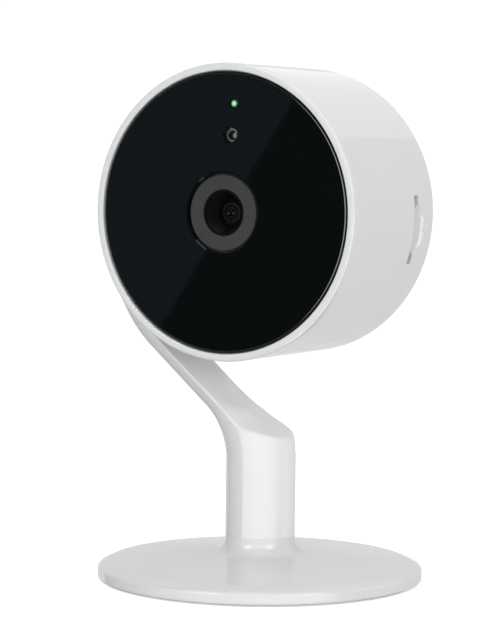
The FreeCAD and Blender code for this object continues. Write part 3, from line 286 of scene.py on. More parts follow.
ivory = (1, 0.97, 0.9)
finishes = {
    "white_plastic": makeGlossWhite(),
    "black_window": makeBlackWindow(),
    "grey_trim": makeFineMatte("matte grey trim", grey(0.05), grey(0.062), 0.5, 3200.0),
    "black_plastic": makeFineMatte("matte black plastic", grey(0.008), grey(0.014), 0.5),
    "clear_plastic": makeClear("clear polished plastic", (0.9, 0.95, 0.93, 1), 0.04, IOR=1.49),
    "optical_glass": makeCoatedGlass("coated lens glass", middleOf("lens_front_glass")),
    "filter_glass": makeClear("coated filter glass", (0.45, 0.85, 0.8, 1), 0.02, IOR=1.52),
    "nylon": makeFineMatte("natural nylon", grey(0.6, ivory), grey(0.68, ivory), 0.45, 1500.0),
    "steel": makeMetal("zinc plated steel", (0.62, 0.63, 0.64, 1), 0.28),
    "spring_steel": makeMetal("spring steel", (0.45, 0.44, 0.43, 1), 0.3),
    "chrome_steel": makeMetal("polished plated steel", (0.78, 0.78, 0.8, 1), 0.1),
    "circuit_board": makeBoard(),
    "chip": makeFineMatte("moulded chip package", grey(0.016), grey(0.026), 0.6, 2200.0),
    "aluminium": makeMetal("blasted aluminium", (0.75, 0.76, 0.78, 1), 0.4, (1, 1, 1), 2500.0),
    "copper": makeMetal("enamelled copper winding", (0.72, 0.33, 0.16, 1), 0.25, (1, 1, 30), 900.0),
    "rubber": makeRubber(),
    "status_green": makeStatusLight(middleOf("led_pipe")),
    "infrared_led": makeClear("clear infrared dome", (0.75, 0.7, 0.8, 1), 0.05, IOR=1.45),
    "adhesive": makeFineMatte("black adhesive film", grey(0.02), grey(0.03), 0.55),
    "speaker_cone": makeFineMatte("coated speaker cone", grey(0.02), grey(0.032), 0.5, 1200.0),
    "lens_black": makeLensBlack(),
}
slotOf = {part["node"]: part["material_slot"] for part in frame["record"]["subparts"]}
for name, node in frame["nodes"].items():
    node.data.materials.clear()
    node.data.materials.append(finishes[slotOf[name]])
    node.data.set_sharp_from_angle(angle=math.radians(32))
print("materials made:", len(finishes))


# ---- mesh helpers: lengths in millimetres, in the piece's own frame ----
def makePiece(name, shape, where, material, body, stands=(), sharp=35):
    points, faces = shape
    mesh = bpy.data.meshes.new(name)
    mesh.from_pydata([tuple((where @ Vector(point)) * mm) for point in points], [], faces)
    tidy = bmesh.new()
    tidy.from_mesh(mesh)
    bmesh.ops.remove_doubles(tidy, verts=tidy.verts, dist=1e-7)
    bmesh.ops.recalc_face_normals(tidy, faces=tidy.faces)
    tidy.to_mesh(mesh)
    tidy.free()
    mesh.materials.append(finishes[material])
    mesh.set_sharp_from_angle(angle=math.radians(sharp))
    axis = where.to_3x3().col[2]
    for face in mesh.polygons:
        face.use_smooth = abs(face.normal.dot(axis)) < 0.99999  # level faces stay truly flat
    piece = bpy.data.objects.new(name.replace(" ", "-"), mesh)
    bpy.context.scene.collection.objects.link(piece)
    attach(piece, body)
    if stands:
        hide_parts(*stands)
    return piece


def rounded(corners, steps=6, closed=True):
    # corners are (x, y) or (x, y, radius); a radius swaps the corner for an arc
    result = []
    count = len(corners)
    for number, corner in enumerate(corners):
        here = Vector(corner[:2])
        radius = corner[2] if len(corner) > 2 else 0
        if not radius or (not closed and number in (0, count - 1)):
            result.append(tuple(here))
            continue
        before = (Vector(corners[number - 1][:2]) - here).normalized()
        after = (Vector(corners[(number + 1) % count][:2]) - here).normalized()
        half = before.angle(after) / 2
        middle = here + (before + after).normalized() * (radius / math.sin(half))
        start = here + before * (radius / math.tan(half)) - middle
        end = here + after * (radius / math.tan(half)) - middle
        turn = start.angle_signed(end)
        for step in range(steps + 1):
            result.append(tuple(middle + Matrix.Rotation(-turn * step / steps, 2) @ start))
    return result


def polar(radius, angle):
    return radius * math.cos(angle), radius * math.sin(angle)


def ringAngles(count):
    return [2 * math.pi * step / count for step in range(count)]


def tubeFaces(rows, count):
    # rows of points in order, each row a closed ring
    return [[row * count + n, row * count + (n + 1) % count, (row + 1) * count + (n + 1) % count,
             (row + 1) * count + n] for row in range(rows - 1) for n in range(count)]


def lathe(profile, turns=192, closed=True):
    points = [(*polar(radius, angle), level) for angle in ringAngles(turns) for radius, level in profile]
    count = len(profile)
    faces = []
    for turn in range(turns):
        here, there = turn * count, (turn + 1) % turns * count
        for step in range(count if closed else count - 1):
            following = (step + 1) % count
            face = [here + step, there + step, there + following, here + following]
            if profile[step][0] < 1e-6 and profile[following][0] < 1e-6:
                continue
            if profile[step][0] < 1e-6:
                face = [face[0], face[2], face[3]]
            elif profile[following][0] < 1e-6:
                face = [face[0], face[1], face[3]]
            faces.append(face)
    return points, faces


def circleLoop(middle, radius, count):
    return [(middle[0] + x, middle[1] + y) for x, y in (polar(radius, angle) for angle in ringAngles(count))]


def barLoop(middle, wide, tall, radius):
    # a rectangle with round corners
    radius = min(radius, wide / 2.001, tall / 2.001)
    corners = [(middle[0] + across * wide / 2, middle[1] + up * tall / 2, radius)
               for across, up in ((-1, -1), (1, -1), (1, 1), (-1, 1))]
    return rounded(corners, 5)


def plate(loops, low, high, bevel, steps=3):
    # loops are functions of an inset into the material, the first for the outer edge, the others for holes
    shape = bmesh.new()
    for level in (high, low):
        rims = []
        for loop in loops:
            ring = [shape.verts.new((across, up, level)) for across, up in loop(bevel)]
            rims += [shape.edges.new(pair) for pair in zip(ring, ring[1:] + ring[:1])]
        bmesh.ops.triangle_fill(shape, use_beauty=True, edges=rims)
    points = [tuple(vert.co) for vert in shape.verts]
    shape.verts.index_update()
    faces = [[vert.index for vert in face.verts] for face in shape.faces]
    shape.free()
    for loop in loops:
        rings = []
        for side, level in ((1, high), (-1, low)):
            arc = []
            for step in range(steps + 1):
                angle = math.pi / 2 * step / steps
                height = level - side * bevel * (1 - math.cos(angle))
                arc.append([(across, up, height) for across, up in loop(bevel * (1 - math.sin(angle)))])
            rings += arc if side > 0 else arc[::-1]
        start = len(points)
        points += sum(rings, [])
        faces += [[start + corner for corner in face] for face in tubeFaces(len(rings), len(rings[0]))]
    return points, faces


def block(low, high, bevel=0.15):
    middle = ((low[0] + high[0]) / 2, (low[1] + high[1]) / 2)
    wide, tall = high[0] - low[0], high[1] - low[1]
    outline = [lambda inset: barLoop(middle, wide - 2 * inset, tall - 2 * inset, 0.3)]
    return plate(outline, low[2], high[2], bevel)


# ---- head: barrel ----
def spacedLines(start, end, step):
    count = max(1, round((end - start) / step))
    return [start + (end - start) * number / count for number in range(count)]


def makeBarrel():
    size = dict(wall=2.4, cornerRound=0.8, windowSeat=30.8, windowBack=front["window"] - 1.5, rearSeat=30.85,
                rearInside=back["rear_cover"] + 2.0, slotHalf=7.55, slotLow=-11.85, slotHigh=-9.75,
                edgeRound=0.22, scoopRadius=7.05, scoopReach=2.9, scoopDepth=2.4, scoopFullness=0.6,
                neckRadius=3.6, neckPatch=6.6, neckSquare=3.0)
    radius, half = headRadius, headDepth / 2
    inner = radius - size["wall"]
    edge = size["edgeRound"]
    fine = [0, edge * 0.35, edge * 0.7, edge, edge * 1.5]
    slotEnd = radius * math.asin(size["slotHalf"] / radius)
    fullHalf = math.pi * radius
    patch, square = size["neckPatch"], size["neckSquare"]
    stretches = ((-patch, -square), (-square, square), (square, patch))
    slotLow, slotHigh, corner = size["slotLow"], size["slotHigh"], size["cornerRound"]
    rearInside, windowBack = size["rearInside"], size["windowBack"]
    tiny = 1e-6

    # lines along the barrel, as lengths round it from the middle of the card slot
    lines = [-slotEnd - step for step in fine[::-1]] + spacedLines(-slotEnd + 0.22, slotEnd, 0.22)
    lines += [slotEnd + step for step in fine]
    lines += spacedLines(slotEnd + 1.0, fullHalf - patch, 1.1)
    for start, end in stretches:
        lines += spacedLines(fullHalf + start, fullHalf + end, 0.4)
    lines += spacedLines(fullHalf + patch, 2 * fullHalf - slotEnd - 0.9, 1.1)
    # lines round the barrel, as levels along the lens axis
    levels = spacedLines(-half + corner, slotLow - 3.6, 0.8)
    levels += spacedLines(slotLow - 3.6, slotLow - fine[-1] * 1.01, 0.2)
    levels += [slotLow - step for step in fine[::-1]]
    levels += spacedLines(slotLow + 0.3, slotHigh, 0.35)
    levels += [slotHigh + step for step in fine]
    levels += spacedLines(slotHigh + 0.8, -patch, 0.8)
    for start, end in stretches:
        levels += spacedLines(start, end, 0.4)
    levels += spacedLines(patch, half - corner, 1.2) + [half - corner]
    # the section, outside and then inside; only the straight runs can hold the openings
    nose = rounded([(size["windowSeat"], windowBack), (size["windowSeat"], half, 0.4),
                    (radius, half, corner), (radius, 0)], 8, closed=False)
    tail = rounded([(radius, 0), (radius, -half, corner), (size["rearSeat"], -half, 0.15),
                    (size["rearSeat"], rearInside)], 8, closed=False)
    rows = [(inner, level, "inside") for level in levels if rearInside < level < windowBack]
    rows = [(inner, rearInside, "")] + rows + [(inner, windowBack, "")]
    rows += [(r, level, "") for r, level in nose[:-2]]
    rows += [(radius, level, "outside") for level in levels[::-1]]
    rows += [(r, level, "") for r, level in tail[2:]]

    scoopMiddle = slotLow - size["scoopReach"] + size["scoopRadius"]

    def carve(length, level):
        # how deep the outer surface lies under the plain barrel at a place round and along it
        y = radius * math.sin(length / radius)
        depth = 0
        if abs(length) < 12 and level <= slotLow + tiny:
            room = 1 - (y * y + (level - scoopMiddle) ** 2) / size["scoopRadius"] ** 2
            depth = size["scoopDepth"] * max(0, room) ** size["scoopFullness"]
        across, along = abs(length) - slotEnd, max(slotLow - level, level - slotHigh)
        off = max(across, along) if min(across, along) < 0 else math.hypot(max(across, 0), max(along, 0))
        if 0 <= off < edge:
            depth += edge - math.sqrt(edge * edge - (edge - off) ** 2)
        return depth

    def around(length, level):
        # bends the square patch of lines about the arm's socket into a round hole
        u, v = length - fullHalf, level
        reach = max(abs(u), abs(v))
        if reach >= patch or reach < square - tiny:
            return length, level
        away = math.hypot(u, v)
        share = (reach - square) / (patch - square)
        circle = size["neckRadius"] * reach / square
        scale = circle / away * (1 - share) + share
        return fullHalf + u * scale, v * scale

    points, faces = [], []
    for ringRadius, level, kind in rows:
        for length in lines:
            wide, along, depth = length, level, 0
            if kind:
                wide, along = around(length, level)
            if kind == "outside":
                depth = carve(length if length < fullHalf else length - 2 * fullHalf, level)
            x, y = polar(ringRadius, wide / radius)
            points.append((x - depth, y, along))
    count = len(lines)

    def inSlot(length, level):
        length = length if length < fullHalf else length - 2 * fullHalf
        return abs(length) <= slotEnd + tiny and slotLow - tiny <= level <= slotHigh + tiny

    def inNeck(length, level):
        return abs(length - fullHalf) <= square + tiny and abs(level) <= square + tiny

    rowIndex = {(kind, round(level, 6)): number for number, (_, level, kind) in enumerate(rows) if kind}
    walls = {}
    for row in range(len(rows)):
        nextRow = (row + 1) % len(rows)
        for column in range(count):
            nextColumn = (column + 1) % count
            kind = rows[row][2] if rows[row][2] == rows[nextRow][2] else ""
            ends = [(lines[column], rows[row][1]), (lines[nextColumn], rows[row][1]),
                    (lines[nextColumn], rows[nextRow][1]), (lines[column], rows[nextRow][1])]
            corners = [(row, column), (row, nextColumn), (nextRow, nextColumn), (nextRow, column)]
            if kind and nextColumn and any(all(inside(*end) for end in ends) for inside in (inSlot, inNeck)):
                for number in range(4):
                    side = frozenset((corners[number], corners[(number + 1) % 4]))
                    walls[side] = walls.get(side, 0) + 1
                continue
            faces.append([r * count + c for r, c in corners])
    # walls of the openings, from the outer surface to the inner one
    for side, uses in walls.items():
        (firstRow, firstColumn), (lastRow, lastColumn) = sorted(side)
        if uses > 1 or rows[firstRow][2] != "outside":
            continue
        first, last = (rowIndex[("inside", round(rows[row][1], 6))] for row in (firstRow, lastRow))
        faces.append([firstRow * count + firstColumn, lastRow * count + lastColumn,
                      last * count + lastColumn, first * count + firstColumn])
    makePiece("barrel shell", (points, faces), headFrame, "white_plastic", "head", ["barrel_shell"])

    # the boss of the ball's socket, which shows through the neck opening
    reach = (headMiddle - ball).length
    profile = rounded([(4.85, -reach - 3.0), (7.2, -radius + 2.0), (7.2, -reach + 2.0, 0.3),
                       (4.85, -reach + 2.0, 0.2)], 3)
    makePiece("socket boss", lathe(profile, 64), headFrame @ quarterTurn["Y"], "white_plastic", "head")


makeBarrel()
print("barrel made")


# ---- head: black window and what shows through it ----
def makeFront():
    size = dict(radius=30.6, thick=1.5, bevel=0.5, lensHole=8.75, ledHole=0.95, lightHole=1.62)
    level = front["window"]
    spots = {name: headFrame.inverted() @ Vector([(low + high) / 2 for low, high in zip(*boxOf(name))])
             for name in ("led_pipe", "sensor_window")}
    shape = plate([
        lambda inset: circleLoop((0, 0), size["radius"] - inset, 224),
        lambda inset: circleLoop((0, 0), size["lensHole"] + inset * 0.75, 128),
        lambda inset: circleLoop(spots["led_pipe"], size["ledHole"] + inset * 0.3, 40),
        lambda inset: circleLoop(spots["sensor_window"], size["lightHole"] + inset * 0.3, 56)],
        level - size["thick"], level, size["bevel"], 1)
    makePiece("front window", shape, headFrame, "black_window", "head", ["window"], sharp=30)

    # small lenses of the status light and of the light sensor
    for name, material, wide, foot, bulge in (("led_pipe", "status_green", 0.9, 5.0, 0.25),
                                              ("sensor_window", "clear_plastic", 1.55, 1.5, 0.45)):
        low = front[name] - foot
        top = front[name] - 0.25
        angles = [step * math.pi / 16 for step in range(8, -1, -1)]
        dome = [(wide * math.sin(angle), top + bulge * math.cos(angle)) for angle in angles]
        shape = lathe([(0, low), (wide, low)] + dome, 48, closed=False)
        where = headFrame @ Matrix.Translation((spots[name].x, spots[name].y, 0))
        makePiece(name.replace("_", " ") + " dome", shape, where, material, "head", [name])
        if name == "sensor_window":
            # a dark cup round the sensor's chip, seen through the dome, and in it a pale ring set off to the left:
            # a painted highlight standing in for the glint on the cup's edge
            cup = rounded([(0, low - 1.6), (1.55, low - 1.6), (1.62, top - 0.1), (1.35, top - 0.25),
                           (1.15, low - 1.0), (0, low - 1.0)], 3)
            makePiece("sensor cup", lathe(cup, 48, closed=False), where, "chip", "head")
            # painted highlight: this pale ring, shifted left, stands in for the glint on the cup's edge
            shape = lathe(circleLoop((0.98, low - 0.2), 0.1, 10), 40)
            makePiece("sensor ring", shape, where @ Matrix.Translation((-0.25, 0, 0)), "nylon", "head")
            shape = block((-0.42, -0.42, low - 1.0), (0.42, 0.42, low - 0.55), 0.08)
            makePiece("sensor chip", shape, where, "nylon", "head")


makeFront()
print("front made")


# ---- head: lens ----
def makeLens():
    size = dict(ringRadius=8.3, ringBore=5.05, flange=10.3, eye=2.7, barrelHead=7.0)
    bore, flange, eye, head = size["ringBore"], size["flange"], size["eye"], size["barrelHead"]
    face, seat = front["lens_ring"], back["lens_ring"]
    flangeTop = front["window"] - 1.55
    shape = lathe(rounded([
        (bore, seat), (flange, seat), (flange, flangeTop),
        (size["ringRadius"], flangeTop), (size["ringRadius"], face, 0.28), (bore, face, 0.3)], 6))
    makePiece("lens trim ring", shape, headFrame, "grey_trim", "head", ["lens_ring"])

    # stepped black funnel from the ring down to the glass
    top, bottom = front["lens_baffle"], back["lens_baffle"]
    outer = bore - 0.05
    steps = 3
    stepIn, stepDown = (outer - 0.5 - eye) / steps, (top - bottom - 0.5) / steps
    funnel = [(eye, bottom), (outer, bottom), (outer, top), (outer - 0.4, top)]
    for number in range(steps):
        wide = outer - 0.4 - stepIn * number
        level = top - 0.25 - stepDown * number
        funnel += [(wide, level), (wide - stepIn * 0.6, level - stepDown * 0.5)]
    shape = lathe(funnel, 144)
    makePiece("lens funnel", shape, headFrame, "lens_black", "head", ["lens_baffle"], 25)

    # front glass: a polished meniscus with a darkened edge
    rise, low, high = 0.8, back["lens_front_glass"], front["lens_front_glass"]
    bow = (eye ** 2 + rise * rise) / (2 * rise)
    cap = []
    for step in range(13):
        wide = eye * (1 - step / 12)
        cap.append((wide, high - bow + math.sqrt(bow * bow - wide * wide)))
    shape = lathe([(0, low), (eye, low)] + cap, 96, closed=False)
    makePiece("front lens glass", shape, headFrame, "optical_glass", "head", ["lens_front_glass"])

    nose, shelf, rear = front["lens_barrel"], front["lens_barrel"] - 3.5, back["lens_barrel"]
    thread = []
    pitch = 0.5
    count = int((shelf - 0.5 - rear) / pitch)
    for number in range(count):
        level = rear + 0.3 + pitch * number
        thread += [(5.98, level), (5.7, level + pitch / 2)]
    profile = [(3.4, rear), (5.7, rear)] + thread + [(5.7, shelf), (head, shelf)]
    mouth = eye + 0.05
    profile += rounded([(head, shelf), (head, nose, 0.25), (mouth, nose)], 4, False)[1:]
    profile += [(mouth, nose - 2.4), (3.9, nose - 2.4), (3.9, shelf - 3), (2.0, shelf - 3),
                (2.0, rear + 2.2), (3.4, rear + 2.2)]
    shape = lathe(profile, 96)
    makePiece("lens barrel", shape, headFrame, "lens_black", "head", ["lens_barrel"], 25)


makeLens()
print("lens made")


# ---- head: rear cover ----
def makeRear():
    size = dict(radius=30.75, bossAngles=(90, 225, 315), boss=27.9, holePitch=2.4, hole=0.55, portCorner=1.2)
    low, high = back["rear_cover"], back["rear_cover"] + 2.0
    inverse = headFrame.inverted()
    middles = {name: inverse @ Vector([(a + b) / 2 for a, b in zip(*boxOf(name))])
               for name in ("speaker", "charging_socket", "reset_button", "microphone")}
    holes = [lambda inset: circleLoop((0, 0), size["radius"] - inset, 224)]

    def addHole(middle, radius, count=20):
        holes.append(lambda inset: circleLoop(middle, radius + inset, count))

    speakerSpot = middles["speaker"]
    addHole(speakerSpot, size["hole"])
    for rank in (1, 2, 3):
        for x, y in circleLoop(speakerSpot, size["holePitch"] * rank, 6 * rank):
            addHole((x, y), size["hole"])
    button = middles["reset_button"]
    addHole(button, 1.67, 48)
    addHole(middles["microphone"], 0.5)
    bosses = [polar(size["boss"], math.radians(angle)) for angle in size["bossAngles"]]
    for spot in bosses:
        addHole(spot, 2.0, 48)
    port = middles["charging_socket"]
    holes.append(lambda inset: barLoop(port, 9.1 + 2 * inset, 4.2 + 2 * inset, size["portCorner"]))
    shape = plate(holes, low, high, 0.14)
    makePiece("rear cover", shape, headFrame, "white_plastic", "head", ["rear_cover"], sharp=40)

    # shelf at the bottom of each counterbore, and the screws with their cross slots
    seat = rounded([(1.15, low + 1.1), (2.2, low + 1.1), (2.2, low + 1.6), (1.15, low + 1.6)], 2)
    for number, spot in enumerate(bosses):
        where = headFrame @ Matrix.Translation((*spot, 0))
        makePiece(f"screw seat {number}", lathe(seat, 40), where, "white_plastic", "head")
        shape = crossScrew(1.9, low + 0.1, low + 1.1, 0.95, low + 7.0)
        makePiece(f"rear screw {number}", shape, where, "steel", "head", ["rear_screws"])

    # reset button: a small domed cap
    where = headFrame @ Matrix.Translation((button.x, button.y, 0))
    capFace = back["reset_button"]
    profile = rounded([(0, capFace + 0.12), (0.8, capFace + 0.1, 0.6), (1.6, capFace, 0.35),
                       (1.6, high + 0.05), (2.4, high + 0.05), (2.4, high + 0.85), (0, high + 0.85)],
                      5, False)
    shape = lathe(profile, 64, closed=False)
    makePiece("reset button cap", shape, where, "white_plastic", "reset_button", ["reset_button"])

    # charging socket: a drawn steel shell round a tongue with contacts
    where = headFrame @ Matrix.Translation((port.x, port.y, 0))
    mouth, deep = back["charging_socket"], front["charging_socket"]
    shape = plate([lambda inset: barLoop((0, 0), 9.0 - 2 * inset, 4.0 - 2 * inset, 1.1),
                   lambda inset: barLoop((0, 0), 7.6 + 2 * inset, 2.7 + 2 * inset, 0.9)], mouth, deep, 0.12)
    makePiece("charging socket shell", shape, where, "chrome_steel", "head", ["charging_socket"])
    shape = block((-3.8, -1.35, deep - 1.0), (3.8, 1.35, deep - 0.2))
    makePiece("charging socket floor", shape, where, "black_plastic", "head")
    shape = block((-2.9, -0.3, mouth + 0.8), (2.9, 0.3, deep - 0.9), 0.1)
    makePiece("charging socket tongue", shape, where, "black_plastic", "head")
    for number in range(5):
        x = -1.6 + 0.8 * number
        shape = block((x - 0.18, -0.36, mouth + 1.0), (x + 0.18, -0.28, deep - 1.0), 0.02)
        makePiece(f"contact {number}", shape, where, "copper", "head")


def crossScrew(headWide, face, under, shank, tip):
    # a pan head facing down with a cross recess, over a threaded shank
    count, rings = 64, 14
    deep, arm, reach = 0.45, headWide * 0.13, headWide * 0.6

    def level(x, y):
        dome = face + 0.22 * (math.hypot(x, y) / headWide) ** 2
        inCross = min(max(abs(x) / reach, abs(y) / arm), max(abs(y) / reach, abs(x) / arm))
        return dome + deep * max(0, min(1, (1.25 - inCross) * 3))

    crown = sum([circleLoop((0, 0), headWide * ring / rings, count) for ring in range(1, rings + 1)], [])
    points = [(x, y, level(x, y)) for x, y in crown]
    thread = [(headWide, under), (shank, under)]
    pitch = 0.5
    for number in range(int((tip - 0.6 - under) / pitch)):
        thread += [(shank, under + pitch * (number + 0.5)), (shank * 0.82, under + pitch * (number + 1))]
    thread += [(shank * 0.5, tip), (0.01, tip)]
    for wide, height in thread:
        points += [(x, y, height) for x, y in circleLoop((0, 0), wide, count)]
    total = rings + len(thread)
    faces = tubeFaces(total, count)
    points.append((0, 0, level(0, 0)))
    faces += [[len(points) - 1, turn, (turn + 1) % count] for turn in range(count)]
    faces.append([(total - 1) * count + turn for turn in range(count)])
    return points, faces


makeRear()
print("rear made")


# ---- arm ----
def makeArm():
    size = dict(post=7.9, flatOffset=2.9, slant=40.8, lowBend=22.9, highBend=24.1, shoulderSlope=15.6,
                shoulderPlace=-1.4, shoulderRound=10.0, crease=0.42, crownStart=-8.5, crownRise=0.34,
                crownFall=0.2, seam=0.02, around=220, cornerRound=0.8, cornerGap=0.9, footHeight=10.0,
                innerPlace=8.17, spigot=5.5)
    radius, offset = size["post"], size["flatOffset"]
    foot = size["footHeight"] + size["seam"]
    flat = ball.x - size["innerPlace"]  # the upright inner face
    axis = flat + offset
    pivot = ball.z
    slant = math.radians(size["slant"])
    # the sloping flat just clears the head's corner; its height is taken at the post's axis
    edge = size["cornerRound"]
    reach = math.hypot(headRadius - edge, headDepth / 2 - edge) + size["cornerGap"]
    level = headMiddle.z - (reach - headMiddle.x * math.sin(slant)) / math.cos(slant)
    knee = level + offset / math.cos(slant)
    highKnee = knee - axis * math.tan(slant)
    half = (math.pi / 2 - slant) / 2
    lowTangent, highTangent = size["lowBend"] * math.tan(half), size["highBend"] * math.tan(half)

    def bendPoints(centre, ring, start, end, step):
        count = max(2, int(abs(end - start) * ring / step))
        return [(centre[0] + ring * math.cos(start + (end - start) * n / count),
                 centre[1] + ring * math.sin(start + (end - start) * n / count)) for n in range(count + 1)]

    def straight(first, last, step):
        count = max(1, int((Vector(last) - Vector(first)).length / step))
        return [tuple(Vector(first).lerp(Vector(last), n / count)) for n in range(count)]

    # the bar's centre line: post, bend, slope, bend, upright
    lowCentre = (-size["lowBend"], knee - lowTangent)
    highCentre = (axis + size["highBend"], highKnee + highTangent)
    slopeAngle = math.pi / 2 - slant
    lowArc = bendPoints(lowCentre, size["lowBend"], 0, slopeAngle, 0.1)
    highArc = bendPoints(highCentre, size["highBend"], math.pi + slopeAngle, math.pi, 0.5)
    line = straight((0, foot), (0, foot + 1.0), 0.25) + straight((0, foot + 1.0), (0, lowCentre[1]), 0.6)
    line += lowArc + straight(lowArc[-1], highArc[0], 0.4)[1:] + highArc
    top = pivot + radius
    line += straight(highArc[-1], (axis, pivot), 0.5)[1:]
    line += [(axis, pivot + radius * math.sin(math.pi / 2 * n / 60)) for n in range(60)]
    line.append((axis, top - 0.002))
    line = np.array(line)
    along = np.gradient(line, axis=0)
    along /= np.linalg.norm(along, axis=1)[:, None]
    inward = np.stack([along[:, 1], -along[:, 0]], 1)  # across the bar, to the head's side

    # the flat's outline, seen along the lens axis, as close points with normals to the head's side
    shoulder = math.radians(size["shoulderSlope"])
    corner = Vector((size["shoulderPlace"], level - size["shoulderPlace"] * math.tan(slant)))
    bend = size["shoulderRound"] * math.tan((slant - shoulder) / 2)
    shortRun = Vector((math.cos(shoulder), -math.sin(shoulder)))
    upright = Vector((math.sin(shoulder), math.cos(shoulder)))
    blendCentre = corner + shortRun * bend + upright * size["shoulderRound"]
    below = -math.pi / 2
    blendArc = bendPoints(blendCentre, size["shoulderRound"], below - shoulder, below - slant, 0.1)
    faceArc = bendPoints(highCentre, size["highBend"] + offset, math.pi + slopeAngle, math.pi, 0.1)
    outline = straight(tuple(corner + shortRun * 40), blendArc[0], 0.1) + blendArc
    outline += straight(blendArc[-1], faceArc[0], 0.1)[1:] + faceArc
    outline += straight(faceArc[-1], (flat, top + 5), 0.1)[1:]
    outline = np.array(outline)
    slope = np.gradient(outline, axis=0)
    slope /= np.linalg.norm(slope, axis=1)[:, None]
    outward = np.stack([slope[:, 1], -slope[:, 0]], 1)

    def smooth(value):
        value = np.clip(value, 0, 1)
        return value * value * (3 - 2 * value)

    # the flat swells over the shoulder: its middle keeps one slope while its edges turn level
    crownPlaces = np.linspace(-20, 12, 400)
    onShoulder = smooth((crownPlaces - size["shoulderPlace"] + 2.5) / 5)
    climb = size["crownRise"] * smooth((crownPlaces - size["crownStart"] + 4) / 8) * (1 - onShoulder)
    crownHeights = np.cumsum(climb - size["crownFall"] * onShoulder) * (crownPlaces[1] - crownPlaces[0])
    crownHeights = np.clip(crownHeights, 0, None)

    def flatDistance(x, y, z):
        # how far a point is past the flat, on the head's side
        shape = x.shape
        query = np.stack([x.ravel(), z.ravel()], 1)
        nearest = np.zeros(len(query), int)
        for start in range(0, len(query), 4000):
            gap = query[start:start + 4000, None, :] - outline[None, ::4, :]
            nearest[start:start + 4000] = np.argmin((gap ** 2).sum(2), 1) * 4
        past = ((query - outline[nearest]) * outward[nearest]).sum(1).reshape(shape)
        power = 2 + 2 * smooth((y + 4) / 8)
        away = np.sqrt(np.clip((np.clip(x, 0, None) ** 2 + y * y) / radius ** 2, 0, 1))
        return past - np.interp(x, crownPlaces, crownHeights) * (1 - away ** power)

    def join(first, second, rounding):
        # both distances kept below zero, with a round edge where they meet
        u, v = np.maximum(first + rounding, 0), np.maximum(second + rounding, 0)
        return np.minimum(np.maximum(first, second), -rounding) + np.hypot(u, v)

    # each section is found along rays from a point inside it
    rows = len(line)
    heart = np.zeros(rows)
    heights = line[:, 1]
    thin = (radius + offset) / 2
    for number in range(rows):
        past = flatDistance(line[number, 0:1], np.zeros(1), line[number, 1:2])[0]
        heart[number] = np.clip(past + (radius - offset) / 2, 0, thin) if past > -4 else 0
    kernel = np.hanning(25)
    padded = np.pad(heart, 12, mode="edge")
    heart = np.convolve(padded, kernel / kernel.sum(), "valid")
    angles = np.linspace(0, 2 * math.pi, size["around"], endpoint=False)
    # rays are denser towards the two creases of the flat
    wide, narrow = radius, (radius - offset) / 2
    squash = np.clip((heart / thin) ** 2, 0, 1)[:, None]
    rayN = np.cos(angles)[None, :] * (1 + squash * (narrow / wide - 1))
    rayY = np.sin(angles)[None, :] * np.ones((rows, 1))
    length = np.hypot(rayN, rayY)
    rayN, rayY = rayN / length, rayY / length
    near, far = np.zeros((rows, size["around"])), np.full((rows, size["around"]), radius * 2.2)
    for _ in range(22):
        middle = (near + far) / 2
        n = -heart[:, None] + rayN * middle
        y = rayY * middle
        x = line[:, 0:1] + inward[:, 0:1] * n
        z = line[:, 1:2] + inward[:, 1:2] * n
        bar = np.hypot(n, y) - radius
        tip = np.where(z > pivot, np.hypot(y, z - pivot), np.abs(y)) - radius
        bar = np.where(heights[:, None] > pivot - 6, join(bar, tip, size["crease"]), bar)
        inside = join(bar, flatDistance(x, y, z), size["crease"]) < 0
        near = np.where(inside, middle, near)
        far = np.where(inside, far, middle)
    points = np.stack([x, y, z], 2).reshape(-1, 3).tolist()
    count = size["around"]
    faces = tubeFaces(rows, count) + [list(range(count)), [(rows - 1) * count + n for n in range(count)]]
    makePiece("arm body", (points, faces), rowFrame, "white_plastic", "arm", ["arm"], sharp=60)
    wide, end, top = size["spigot"], boxOf("arm")[0].z, foot + 0.2
    shape = lathe(rounded([(0, end), (wide, end, 0.4), (wide, top), (0, top)], 4, False), 64, closed=False)
    makePiece("swivel spigot", shape, rowFrame, "white_plastic", "arm")

    # plug over the tilt screw, following the arm's round outer side
    plug = dict(radius=3.45, edgeStart=3.1, edgeFall=1.3, proud=0.06, thick=1.2, rings=12, turns=72)
    points = []
    for ring in range(plug["rings"] + 1):
        away = plug["radius"] * ring / plug["rings"]
        drop = max(0, away - plug["edgeStart"]) ** 2 * plug["edgeFall"] - plug["proud"]
        points += [(axis - math.sqrt(radius ** 2 - y * y) + drop, y, pivot + z)
                   for y, z in circleLoop((0, 0), away, plug["turns"])]
    start = len(points)
    points += [(x + plug["thick"], y, z) for x, y, z in points[-plug["turns"]:]]
    faces = tubeFaces(plug["rings"] + 2, plug["turns"]) + [list(range(start, start + plug["turns"]))]
    makePiece("tilt plug", (points, faces), rowFrame, "white_plastic", "arm", ["tilt_plug"])


makeArm()
print("arm made")


# ---- ball stud ----
def makeStud():
    size = dict(ball=4.0, neck=2.0, collar=3.4, collarPlace=-8.12, collarThick=1.0)
    end = boxOf("ball_stud")[0].x - ball.x
    inner, outer = size["collarPlace"], size["collarPlace"] + size["collarThick"]
    neck, collar = size["neck"], size["collar"]
    meet = math.sqrt(size["ball"] ** 2 - neck ** 2)
    start = math.asin(neck / size["ball"])
    sphere = [(size["ball"] * math.sin(angle), -size["ball"] * math.cos(angle))
              for angle in np.linspace(start, math.pi, 40)]
    profile = rounded([(0, end), (neck, end, 0.3), (neck, inner), (collar, inner, 0.2), (collar, outer, 0.3),
                       (neck, outer, 0.3), (neck, -meet)], 4, False)
    shape = lathe(profile + [(max(wide, 0), level) for wide, level in sphere[1:]], 96, closed=False)
    makePiece("ball stud", shape, tiltFrame, "chrome_steel", "stud", ["ball_stud"])


makeStud()
print("stud made")


